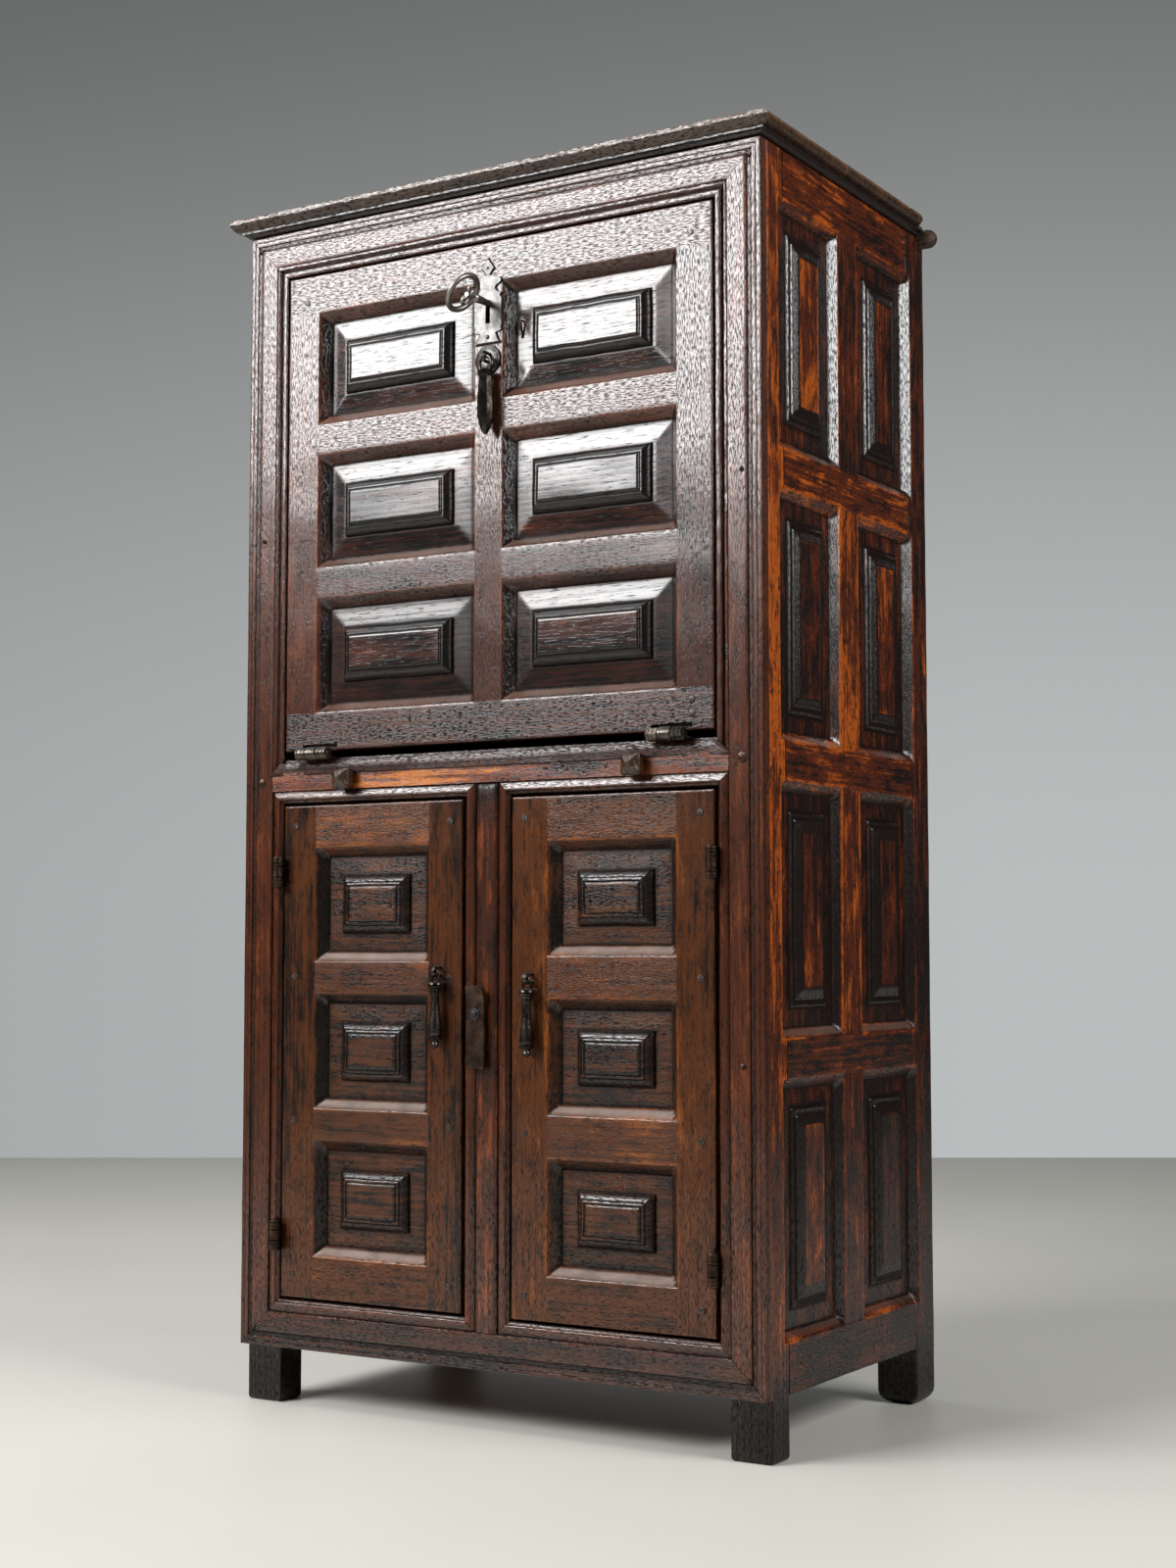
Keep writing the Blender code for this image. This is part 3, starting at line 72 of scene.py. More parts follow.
def old_oak(name, deep, brown, worn, middle, spread, gloss, tooled=0.0, wax=0.66, pore=(120, 620, 0.49, 1.0),
            patch=(10, 34), dust_and_top_light_colour="#6a5142", crust=0.0, grain_axis=None):
    """Waxed old oak. A tone made of streaks along the grain, clouds and rubbing runs from the deep colour of the old
    finish over brown to worn wood; the wear attribute that sets the rubbing also carries painted shade on chamfers,
    panel risers and the fall's lower rails. Pores, year rings and the dirt attribute darken it and dull its wax: dirt
    in the recesses, and painted shade on panel risers and the mullion's top. Dirt below zero is dust on a ledge: matt,
    in the dust colour given as an argument, which on the doors is pale enough to be partly a painted top light. Pore
    gives the pores per metre along and across the grain, the level from which they show and how deep they are, patch
    the clouds per metre, and crust how black the crusts of old finish are. A piece made here has its grain in a UV map
    in metres; a CAD solid takes it from Object coordinates."""
    material = bpy.data.materials.new(name)
    material.use_nodes = True
    material.node_tree.nodes.clear()
    if grain_axis is None:
        place = add_node(material, "UVMap", uv_map="grain").outputs["UV"]
    else:
        turn = {"x": (0, 0, 0), "y": (0, 0, -math.pi / 2), "z": (0, math.pi / 2, 0)}[grain_axis]
        coordinates = add_node(material, "TexCoord").outputs["Object"]
        place = add_node(material, "Mapping", {"Vector": coordinates, "Rotation": turn}).outputs["Vector"]
    # Streaks 5 mm wide and 12 cm long, year rings 9 mm apart, flecks and pores 8 mm long and drawn 1.6 mm wide so
    # that they show, clouds 10 cm long, and saw marks 3 mm apart across the grain.
    wide = add_node(material, "Mapping", {"Vector": place, "Scale": (8, 190, 190)})
    streak = add_node(material, "TexNoise", {"Vector": wide.outputs[0], "Scale": 1, "Detail": 6,
                                             "Roughness": 0.6, "Distortion": 0.3})
    bent = add_node(material, "Mapping", {"Vector": place, "Scale": (1.8, 33, 33)})
    rings = add_node(material, "TexWave", {"Vector": bent.outputs[0], "Scale": 1, "Distortion": 11,
                                           "Detail": 4, "Detail Scale": 0.6}, bands_direction="Y")
    fine = add_node(material, "Mapping", {"Vector": place, "Scale": (pore[0], pore[1], pore[1])})
    pits = add_node(material, "TexNoise", {"Vector": fine.outputs[0], "Scale": 1, "Detail": 3, "Roughness": 0.6})
    pores = add_node(material, "MapRange", {"Value": pits.outputs[0], "From Min": pore[2],
                                            "From Max": pore[2] + 0.13})
    large = add_node(material, "Mapping", {"Vector": place, "Scale": (patch[0], patch[1], patch[1])})
    cloud = add_node(material, "TexNoise", {"Vector": large.outputs[0], "Scale": 1, "Detail": 8,
                                            "Roughness": 0.68, "Distortion": 0.5})
    wear = add_node(material, "Attribute", attribute_name="wear")
    dirt = add_node(material, "Attribute", attribute_name="dirt")
    rubbed = add_node(material, "Math", {0: cloud.outputs[0], 1: 0.45, 2: wear.outputs["Fac"]},
                      operation="MULTIPLY_ADD")
    tone = add_node(material, "Math", {0: streak.outputs[0], 1: 0.40, 2: rubbed.outputs[0]},
                    operation="MULTIPLY_ADD")
    lift = add_node(material, "MapRange", {"Value": tone.outputs[0], "From Min": middle - spread,
                                           "From Max": middle - 0.25 * spread})
    open_wood = add_node(material, "MapRange", {"Value": tone.outputs[0], "From Min": middle + 0.25 * spread,
                                                "From Max": middle + spread})
    ground = add_node(material, "Mix", {"Factor": lift.outputs[0], "A": linear(deep), "B": linear(brown)},
                      data_type="RGBA")
    opened = add_node(material, "Mix", {"Factor": open_wood.outputs[0], "A": ground.outputs["Result"],
                                        "B": linear(worn)}, data_type="RGBA")
    lines = add_node(material, "MapRange", {"Value": rings.outputs[0], "From Min": 0.0, "From Max": 0.35,
                                            "To Min": 0.16, "To Max": 0.0})
    closed = add_node(material, "Math", {0: pores.outputs[0], 1: 0.70, 2: lines.outputs[0]},
                      operation="MULTIPLY_ADD")
    crusts = add_node(material, "Mapping", {"Vector": place, "Scale": (26, 75, 75)})
    left_on = add_node(material, "TexNoise", {"Vector": crusts.outputs[0], "Scale": 1, "Detail": 6, "Roughness": 0.65})
    crusted = add_node(material, "MapRange", {"Value": left_on.outputs[0], "From Min": 0.545, "From Max": 0.60,
                                              "To Max": crust})
    dark = add_node(material, "Math", {0: dirt.outputs["Fac"], 1: 0.85, 2: closed.outputs[0]},
                    operation="MULTIPLY_ADD", use_clamp=True)
    black = add_node(material, "Math", {0: dark.outputs[0], 1: crusted.outputs[0]}, operation="ADD", use_clamp=True)
    colour = add_node(material, "Mix", {"Factor": black.outputs[0], "A": opened.outputs["Result"],
                                        "B": linear("#0e0907")}, data_type="RGBA")
    dust = add_node(material, "Math", {0: dirt.outputs["Fac"], 1: -0.6}, operation="MULTIPLY", use_clamp=True)
    uneven_dust = add_node(material, "MapRange", {"Value": left_on.outputs[0], "From Min": 0.35, "From Max": 0.65,
                                                  "To Min": 1.1, "To Max": 0.55})
    film = add_node(material, "Math", {0: dust.outputs[0], 1: uneven_dust.outputs[0]}, operation="MULTIPLY")
    dust_and_top_light_mix = add_node(material, "Mix", {"Factor": film.outputs[0], "A": colour.outputs["Result"],
                                         "B": linear(dust_and_top_light_colour)}, data_type="RGBA")
    waxed = add_node(material, "Math", {0: dust.outputs[0], 1: 0.4, 2: gloss - 0.05}, operation="MULTIPLY_ADD")
    dull = add_node(material, "Math", {0: dark.outputs[0], 1: 0.24, 2: waxed.outputs[0]}, operation="MULTIPLY_ADD")
    shine = add_node(material, "MapRange", {"Value": dark.outputs[0], "From Min": 0.1, "From Max": 0.85,
                                            "To Min": wax, "To Max": 0.10})
    patchy = add_node(material, "Math", {0: cloud.outputs[0], 1: 0.10, 2: dull.outputs[0]},
                      operation="MULTIPLY_ADD")
    soft = add_node(material, "Math", {0: streak.outputs[0], 1: 0.16}, operation="MULTIPLY")
    relief = add_node(material, "Math", {0: pores.outputs[0], 1: -pore[3], 2: soft.outputs[0]},
                      operation="MULTIPLY_ADD")
    sawn = add_node(material, "Mapping", {"Vector": place, "Scale": (330, 22, 22)})
    marks = add_node(material, "TexNoise", {"Vector": sawn.outputs[0], "Scale": 1, "Detail": 2})
    height = add_node(material, "Math", {0: marks.outputs[0], 1: tooled, 2: relief.outputs[0]},
                      operation="MULTIPLY_ADD")
    ringed = add_node(material, "Math", {0: rings.outputs[0], 1: 0.10, 2: height.outputs[0]},
                      operation="MULTIPLY_ADD")
    bump = add_node(material, "Bump", {"Height": ringed.outputs[0], "Strength": 0.4, "Distance": 0.0003})
    shader = add_node(material, "BsdfPrincipled", {"Base Color": dust_and_top_light_mix.outputs["Result"],
                                                   "Roughness": patchy.outputs[0], "IOR": 1.5,
                                                   "Specular IOR Level": shine.outputs[0],
                                                   "Normal": bump.outputs[0]})
    add_node(material, "OutputMaterial", {"Surface": shader.outputs[0]})
    return material


def ripple(a, b, size, seed):
    """Six sine waves of seeded direction, length and phase, added up to between -1 and 1."""
    rng = np.random.default_rng(seed)
    turn = rng.uniform(0, 2 * np.pi, 6)
    phase = rng.uniform(0, 2 * np.pi, 6)
    pace = 2 * np.pi * rng.uniform(0.6, 1.8, 6) / size
    flat = np.asarray(a)[..., None] * np.cos(turn) + np.asarray(b)[..., None] * np.sin(turn)
    return np.sin(flat * pace + phase).mean(axis=-1)


def grid_lines(low, high, step, marks=()):
    """Even lines from low to high, with a line at each mark in place of the even ones close to it."""
    even = np.linspace(low, high, max(3, round((high - low) / step) + 1))
    marks = np.array(sorted({round(mark, 5) for mark in marks if low + 1e-4 < mark < high - 1e-4} | {low, high}))
    far = np.abs(even[:, None] - marks[None, :]).min(axis=1) > 0.4 * step
    return np.unique(np.concatenate([even[far], marks]))


def turned_to(facing, a, u, d):
    """Grid places as x, y, z for a surface that looks to one side. The height d counts outwards."""
    places = {"front": (a, -d, u), "back": (a, d, u), "right": (d, a, u), "left": (-d, a, u), "top": (a, u, d)}
    return np.stack(places[facing], axis=-1)


def slab(a, u, front, back, facing, cells=None, upright=True, member=0, wear=0.0, dirt=0.0, seed=1, behind=0):
    """A closed board: a height field over a grid in front, another behind it, and walls where the cells end.
    The grain runs along u where upright, else along a; each member's grain starts at a seeded place. Behind is
    the share of the wear and dirt that the back has."""
    shape = a.shape
    count = a.size
    front = np.broadcast_to(front, shape)
    back = np.broadcast_to(back, shape)
    cells = np.ones((shape[0] - 1, shape[1] - 1), bool) if cells is None else cells
    upright = np.broadcast_to(upright, cells.shape)
    member = np.broadcast_to(member, cells.shape)
    index = np.arange(count).reshape(shape)
    quads = np.stack([index[:-1, :-1], index[:-1, 1:], index[1:, 1:], index[1:, :-1]], axis=-1)
    faces = [quads[cells], quads[cells][:, ::-1] + count]
    owners = [np.stack([upright[cells], member[cells]], axis=-1)] * 2
    room = np.pad(cells, 1)
    for down, left, i, j in ((-1, 0, 0, 1), (0, 1, 1, 2), (1, 0, 2, 3), (0, -1, 3, 0)):
        beside = room[1 + down:shape[0] + down, 1 + left:shape[1] + left]
        edge = cells & ~beside
        start, end = quads[edge][:, i], quads[edge][:, j]
        faces.append(np.stack([end, start, start + count, end + count], axis=-1))
        owners.append(np.stack([upright[edge], member[edge]], axis=-1))
    faces = np.concatenate(faces)
    owners = np.concatenate(owners)
    slant = np.where(np.arange(len(faces)) < 2 * cells.sum(), 0.35, 1.0)[:, None]
    points = np.concatenate([turned_to(facing, a, u, front), turned_to(facing, a, u, back)]).reshape(-1, 3)
    height = np.concatenate([front.ravel(), back.ravel()])
    along = np.tile(u.ravel(), 2)[faces]
    across = np.tile(a.ravel(), 2)[faces]
    stands = owners[:, :1].astype(bool)
    start = np.random.default_rng(seed).uniform(0, 40, (int(member.max()) + 1, 2))[owners[:, 1].astype(int)]
    grain_u = np.where(stands, along, across) + start[:, :1]
    grain_v = np.where(stands, across, along) + slant * height[faces] + start[:, 1:]
    if facing in ("left", "back"):
        faces, grain_u, grain_v = faces[:, ::-1], grain_u[:, ::-1], grain_v[:, ::-1]
    used, faces = np.unique(faces, return_inverse=True)
    worn = np.broadcast_to(wear, shape).ravel()
    worn = np.concatenate([worn, behind * worn])
    foul = np.broadcast_to(dirt, shape).ravel()
    foul = np.concatenate([foul, behind * foul])
    return {"points": points[used], "quads": faces.reshape(-1, 4), "tris": np.zeros((0, 3), int),
            "grain": np.stack([grain_u, grain_v], axis=-1).reshape(-1, 2), "wear": worn[used], "dirt": foul[used]}


def make_piece(name, parts, material, body, nodes=(), crease=38):
    """One mesh object from the parts' arrays, with its material, riding on a body and standing for CAD nodes."""
    sizes = [len(part["points"]) for part in parts]
    shift = np.concatenate([[0], np.cumsum(sizes)[:-1]])
    points = np.concatenate([part["points"] for part in parts])
    loops, totals, grain = [], [], []
    for part, first in zip(parts, shift):
        loops += [(part["quads"] + first).ravel(), (part["tris"] + first).ravel()]
        totals += [np.full(len(part["quads"]), 4), np.full(len(part["tris"]), 3)]
        grain.append(part["grain"])
    loops = np.concatenate(loops)
    totals = np.concatenate(totals)
    mesh = bpy.data.meshes.new(name)
    mesh.vertices.add(len(points))
    mesh.vertices.foreach_set("co", points.astype(np.float32).ravel())
    mesh.loops.add(len(loops))
    mesh.loops.foreach_set("vertex_index", loops.astype(np.int32))
    mesh.polygons.add(len(totals))
    mesh.polygons.foreach_set("loop_start", (np.cumsum(totals) - totals).astype(np.int32))
    mesh.update(calc_edges=True)
    layer = mesh.uv_layers.new(name="grain")
    layer.data.foreach_set("uv", np.concatenate(grain).astype(np.float32).ravel())
    for key in ("wear", "dirt"):
        values = np.concatenate([part[key] for part in parts]).astype(np.float32)
        mesh.attributes.new(key, "FLOAT", "POINT").data.foreach_set("value", values)
    mesh.shade_smooth()
    mesh.set_sharp_from_angle(angle=math.radians(crease))
    mesh.materials.append(material)
    piece = bpy.data.objects.new(name, mesh)
    bpy.context.scene.collection.objects.link(piece)
    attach(piece, body)
    if nodes:
        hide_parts(*nodes)
    return piece


def quarter_round(edge, radius):
    """How far a surface falls away at a distance from its edge that is worn to a quarter round."""
    near = np.clip(edge, 0, radius)
    return radius - np.sqrt(np.maximum(radius ** 2 - (radius - near) ** 2, 0))


def inside(a, u, opening):
    """Distance to the nearest side of a rectangle (left, right, low, high), counted inwards."""
    left, right, low, high = opening
    return np.minimum(np.minimum(a - left, right - a), np.minimum(u - low, high - u))


arris_marks = (-0.0024, -0.0009, -0.0003, 0.0003, 0.0009)


def chamfered(a, u, openings, width, depth, dust=0.8, head=-0.02):
    """Fall of the chamfers round a set of openings, the wear of their arrises with painted shade on the chamfers, and
    the dirt at their feet. Each is a slope from the arris inwards, rounded there as half of (d + root of d squared plus
    r squared). The upright ones are painted darkest and head says how much darker the upper ones are: painted shade on
    the chamfers that face sideways and down. Dust lies on the lowest ones."""
    d = np.max([inside(a, u, opening) for opening in openings], axis=0)
    on_sill = np.min([np.abs(u - opening[2]) for opening in openings], axis=0) < d + 1e-5
    on_head = np.min([np.abs(u - opening[3]) for opening in openings], axis=0) < d + 1e-5
    worn_edge = 0.5 * (d + np.sqrt(d ** 2 + 0.0008 ** 2)) * depth / width
    # Painted shade: chamfers that face sideways are painted darker by 0.14, and those that face down by head.
    darker = np.where(on_sill, 0.0, np.where(on_head, head, 0.14))
    wear = 0.08 * np.exp(-((d + 0.0008) / 0.0022) ** 2) - darker * (d > 0.0012)
    dirt = np.clip((d - 0.80 * width) / (0.20 * width), 0, 1)
    dirt = np.where(on_sill & (d > 0.0012), (1 + dust) * dirt - dust, dirt)
    return np.minimum(worn_edge, depth), wear, dirt


def uneven(a, u, size, seed):
    """Grid places shifted a little along the surface, so that straight edges run as uneven as hand work."""
    return a + size * ripple(a, u, 0.085, seed), u + size * ripple(a, u, 0.085, seed + 50)


# Sides are glossy dark with orange where the finish has gone, in patches with crisp ends.
side_oak = old_oak("waxed_side_oak", "#160b07", "#4a1d0b", "#9c4a10", 0.435, 0.085, 0.18, wax=0.6, patch=(17, 48), crust=0.6)
side_chamfer_width = 0.013
side_chamfer_depth = 0.0115
post_low, post_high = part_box("front_right_post")
back_low, back_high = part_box("back_right_post")
side_low, side_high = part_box("right_side")
frame_low = side_low[2]
frame_top = side_high[2]
outer_side = side_high[0]
end_rail = 0.063
cross_rail = 0.050
muntin = 0.059
side_start = post_high[1] - side_chamfer_width
side_end = back_low[1] + side_chamfer_width
side_space = (side_end - side_start - muntin) / 2
side_columns = [(side_start, side_start + side_space), (side_end - side_space, side_end)]
row_space = (frame_top - frame_low - 2 * end_rail - 3 * cross_rail) / 4
row_starts = [frame_low + end_rail + row * (row_space + cross_rail) for row in range(4)]
side_rows = [(start, start + row_space) for start in row_starts]
side_openings = [(*column, *row) for column in side_columns for row in side_rows]
row_marks = []
for row_low, row_high in side_rows:
    for mark in (*arris_marks, side_chamfer_width):
        row_marks += [row_low + mark, row_high - mark]


def corner_post(name, side, foot_wear, rubbing, seed):
    """A post as a board that looks to its side, its faces and foot drawn in by quarter rounds."""
    low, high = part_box(name)
    depth_marks = [low[1] + 0.0008, low[1] + 0.0025, high[1] - 0.0025, high[1] - 0.0008]
    for left, right in side_columns:
        depth_marks += [left + mark for mark in arris_marks] + [right - mark for mark in arris_marks]
    height_marks = row_marks + [foot_wear * share for share in (0.05, 0.15, 0.35, 0.65, 1.0)]
    a, u = np.meshgrid(grid_lines(low[1], high[1], 0.004, depth_marks), grid_lines(0, high[2], 0.006, height_marks))
    fall, wear, dirt = chamfered(a, u, side_openings, side_chamfer_width, side_chamfer_depth)
    foot = quarter_round(u, foot_wear)
    edge = np.minimum(a - low[1], high[1] - a)
    round_edge = np.where(fall > 0.002, 0, quarter_round(edge, 0.0025))
    outer = outer_side - fall - round_edge - foot - 0.0005 * (1 + ripple(a, u, 0.16, seed + 2))
    middle = (low[1] + high[1]) / 2
    drawn = middle + (a - middle) * (1 - 2 * foot / (high[1] - low[1])) + 0.0004 * ripple(a, u, 0.085, seed + 5)
    inner = min(abs(low[0]), abs(high[0])) + foot
    wear = wear + rubbing + 0.05 * np.exp(-(edge / 0.003) ** 2) + 0.09 * ripple(a, u, 0.35, seed + 3)
    wear = wear + 0.06 * np.exp(-((u - 1.0) / 0.34) ** 2) - 0.02
    soiled = np.clip(1.3 - (u - 0.03) / 0.06, 0, 1)
    return slab(drawn, u, outer, inner, side, wear=wear - 0.22 * soiled, dirt=np.clip(dirt + 0.45 * soiled, 0, 1),
                seed=seed, behind=1)


for side, seed in (("left", 11), ("right", 21)):
    for end, foot_wear, rubbing, step in (("front", 0.005, 0.035, 0), ("back", 0.018, -0.05, 5)):
        post_name = f"{end}_{side}_post"
        post = corner_post(post_name, side, foot_wear, rubbing, seed + step)
        make_piece("oak_" + post_name, [post], side_oak, "case", [post_name])


# Panelled sides
# Each side is five oak rails with short muntins between them, holding eight raised panels in two columns.
# The inner edges are chamfered by drawknife, and each panel has two moulded steps round a flat field.

def members(a, u, openings, through):
    """For each place on a panelled frame, whether its member stands upright, the member's number, and whether two
    members meet there. Through says which of them run from end to end: all the rails, the end rails or the stiles.
    A chamfer goes with the member that it is cut on, which is the one at the nearer side of its opening."""
    columns = np.unique(np.round([x for opening in openings for x in opening[:2]], 4))
    rows = np.unique(np.round([z for opening in openings for z in opening[2:]], 4))
    off_columns = np.abs(a[..., None] - columns)
    off_rows = np.abs(u[..., None] - rows)
    row = np.searchsorted(rows, u)
    in_column = np.searchsorted(columns, a) % 2 == 1
    in_row = row % 2 == 1
    at_end = (row == 0) | (row == len(rows))
    upright = ~in_column & {"rails": in_row, "end rails": ~at_end, "stiles": True}[through]
    upright = np.where(in_row & in_column, off_columns.min(axis=-1) < off_rows.min(axis=-1), upright)
    post = 20 + 10 * ((off_columns.argmin(axis=-1) + 1) // 2) + (through == "rails") * (row + 1) // 2
    on_column = (off_columns.min(axis=-1) < 2e-4) & ~in_row
    on_row = (off_rows.min(axis=-1) < 2e-4) & (off_columns.min(axis=-1) > 1e-3) & ~in_column
    ends = (u < rows[0] + 1e-3) | (u > rows[-1] - 1e-3)
    joint = {"rails": on_row, "end rails": (on_column & ~at_end) | (on_row & ends), "stiles": on_column}[through]
    return upright, np.where(upright, post, (off_rows.argmin(axis=-1) + 1) // 2), joint


def raised_panel(rect, steps, top, back, facing, upright, seed, field_wear, border_wear, step=0.004, border_dirt=0.0,
                 riser_dirt_and_shade=0.45):
    """A panel whose height is a profile of the distance from its edge, so the steps mitre at its corners."""
    left, right, low, high = rect
    reach = np.array([point[0] for point in steps])
    rise = np.array([point[1] for point in steps])
    a_marks = np.concatenate([left + reach, right - reach])
    u_marks = np.concatenate([low + reach, high - reach])
    a, u = np.meshgrid(grid_lines(left, right, step, a_marks), grid_lines(low, high, step, u_marks))
    d = inside(a, u, rect)
    height = np.interp(d, reach, rise)
    slope = np.interp(d + 0.0012, reach, rise) - 2 * height + np.interp(d - 0.0012, reach, rise)
    # Painted shade: the risers between border and field are painted 0.16 darker than the border.
    wear = np.where(d > reach[-2], field_wear, np.where(d < reach[2], border_wear, border_wear - 0.16))
    wear = wear + 0.12 * np.clip(-slope / 0.0006, 0, 1)
    wear = wear + 0.06 * ripple(a, u, 0.3, seed + 2)
    dirt = 0.8 * np.clip(slope / 0.0008, 0, 1) + np.clip(1 - d / 0.003, 0, 1) + 0.3 * np.clip(1 - d / 0.012, 0, 1)
    dirt = dirt + 0.3 * np.exp(-((d - reach[2]) / 0.004) ** 2) 
    # The risers' added dirt is partly dirt and partly painted shade, darkening them and dulling their wax.
    dirt = dirt + riser_dirt_and_shade * ((d > reach[2]) & (d < reach[-2]))
    dirt = dirt + border_dirt * (d < reach[2])
    front = top + height + 0.0004 * ripple(a, u, 0.11, seed + 1)
    a, u = uneven(a, u, 0.0007, seed)
    return slab(a, u, front, back, facing, upright=upright, wear=wear, dirt=np.clip(dirt, 0, 1), seed=seed)


panel_ground = outer_side - side_chamfer_depth
row_wear = (-0.02, -0.04, 0.0, 0.03)
side_steps = [(0, 0), (0.020, 0.0008), (0.0245, 0.001), (0.026, 0.0035), (0.0285, 0.0048), (0.031, 0.0042),
              (0.0345, 0.0042), (0.036, 0.0060), (0.0375, 0.0064), (0.046, 0.0098), (0.0485, 0.0102), (0.06, 0.0100)]
for side, seed in (("left", 31), ("right", 41)):
    low_y = post_high[1] + 0.0003
    high_y = back_low[1] - 0.0003
    marks = []
    for left, right in side_columns:
        for mark in (*arris_marks, side_chamfer_width):
            marks += [left + mark, right - mark]
    across = grid_lines(low_y, high_y, 0.005, marks)
    up = grid_lines(frame_low, frame_top, 0.006, row_marks)
    a, u = np.meshgrid(across, up)
    fall, wear, dirt = chamfered(a, u, side_openings, side_chamfer_width, side_chamfer_depth)
    middle_a = (a[:-1, :-1] + a[1:, 1:]) / 2
    middle_u = (u[:-1, :-1] + u[1:, 1:]) / 2
    depth_in = np.max([inside(middle_a, middle_u, opening) for opening in side_openings], axis=0)
    upright, member, _ = members(middle_a, middle_u, side_openings, "rails")
    stands, number, joint = members(a, u, side_openings, "rails")
    tone = np.random.default_rng(seed).uniform(-0.045, 0.045, 80)
    tone[:5] = (-0.02, -0.01, 0.02, 0.02, -0.02)
    front = outer_side - 0.0010 * stands - fall - 0.0006 * (1 + ripple(a, u, 0.13, seed + 2))
    wear = wear + tone[number] + 0.02 * stands - 0.02 + 0.08 * ripple(a, u, 0.4, seed + 4) + 0.03 * (u - 1.1)
    dirt = np.where(joint, 0.7, dirt)
    a, u = uneven(a, u, 0.0004, seed + 5)
    frame_part = slab(a, u, front, side_low[0], side, cells=depth_in < side_chamfer_width, upright=upright,
                      member=member, wear=wear, dirt=dirt, seed=seed)
    parts = [frame_part]
    for number, opening in enumerate(side_openings):
        rect = np.array(opening) + np.array([1, -1, 1, -1]) * (side_chamfer_width - 0.001)
        parts.append(raised_panel(rect, side_steps, panel_ground - 0.0004, side_low[0] + 0.006, side, True,
                                  seed * 10 + number, row_wear[number % 4] + tone[number + 60], -0.06, riser_dirt_and_shade=0.1))
    make_piece(f"oak_{side}_side", parts, side_oak, "case", [f"{side}_side"])


# Face frame
# Two stiles and two rails planted on the posts and mitred at the corners, with three reeds run along the
# outer edge by a scratch stock. The wood behind the rails carries the mouldings.

def carried(rings, closed_path=False, wear=None, dirt=None, seed=1):
    """A closed profile carried along a path: rings[i, j] is point j of the profile at station i. Ends are
    closed by a fan to their middle. The grain's u is the length along the path, its v the length round it."""
    stations, count = rings.shape[:2]
    index = np.arange(stations * count).reshape(stations, count)
    after = np.roll(index, -1, axis=1)
    if closed_path:
        ahead, beyond = np.roll(index, -1, axis=0), np.roll(after, -1, axis=0)
    else:
        index_rows = index[:-1]
        ahead, beyond, after, index = index[1:], after[1:], after[:-1], index_rows
    quads = np.stack([index, after, beyond, ahead], axis=-1).reshape(-1, 4)
    centre = rings.mean(axis=1)
    path = np.concatenate([[0], np.cumsum(np.linalg.norm(np.diff(centre, axis=0), axis=1))])
    ring = rings[stations // 2]
    around = np.concatenate([[0], np.cumsum(np.linalg.norm(ring - np.roll(ring, -1, axis=0), axis=1))])
    start = np.random.default_rng(seed).uniform(0, 40, 2)
    rows = np.arange(quads.shape[0]) // count
    columns = np.arange(quads.shape[0]) % count
    path = np.append(path, path[-1] + np.linalg.norm(centre[0] - centre[-1]))
    grain_u = np.stack([path[rows], path[rows], path[rows + 1], path[rows + 1]], axis=-1) + start[0]
    grain_v = np.stack([around[columns], around[columns + 1], around[columns + 1], around[columns]], axis=-1) + start[1]
    grain = np.stack([grain_u, grain_v], axis=-1).reshape(-1, 2)
    points = rings.reshape(-1, 3)
    tris = np.zeros((0, 3), int)
    worn = np.zeros(len(points)) if wear is None else np.broadcast_to(wear, rings.shape[:2]).ravel()
    foul = np.zeros(len(points)) if dirt is None else np.broadcast_to(dirt, rings.shape[:2]).ravel()
    if not closed_path:
        first = np.arange(count)
        last = first + (stations - 1) * count
        low_fan = np.stack([np.roll(first, -1), first, np.full(count, len(points))], axis=-1)
        high_fan = np.stack([last, np.roll(last, -1), np.full(count, len(points) + 1)], axis=-1)
        tris = np.concatenate([low_fan, high_fan])
        points = np.concatenate([points, centre[:1], centre[-1:]])
        worn = np.append(worn, [0, 0])
        foul = np.append(foul, [0, 0])
        grain = np.concatenate([grain, points[tris.ravel()][:, :2] + start])
    return {"points": points, "quads": quads, "tris": tris, "grain": grain, "wear": worn, "dirt": foul}


def facing_out(part):
    """The part with its faces turned so that its signed volume is positive."""
    p = part["points"]
    q = part["quads"]
    volume = 0.0
    for i, j, k in ((0, 1, 2), (0, 2, 3)):
        volume += np.einsum("ij,ij->", p[q[:, i]], np.cross(p[q[:, j]], p[q[:, k]]))
    t = part["tris"]
    volume += np.einsum("ij,ij->", p[t[:, 0]], np.cross(p[t[:, 1]], p[t[:, 2]]))
    if volume < 0:
        quads = len(q) * 4
        part["quads"] = q[:, ::-1]
        part["tris"] = t[:, ::-1]
        part["grain"] = np.concatenate([part["grain"][:quads].reshape(-1, 4, 2)[:, ::-1].reshape(-1, 2),
                                        part["grain"][quads:].reshape(-1, 3, 2)[:, ::-1].reshape(-1, 2)])
    return part


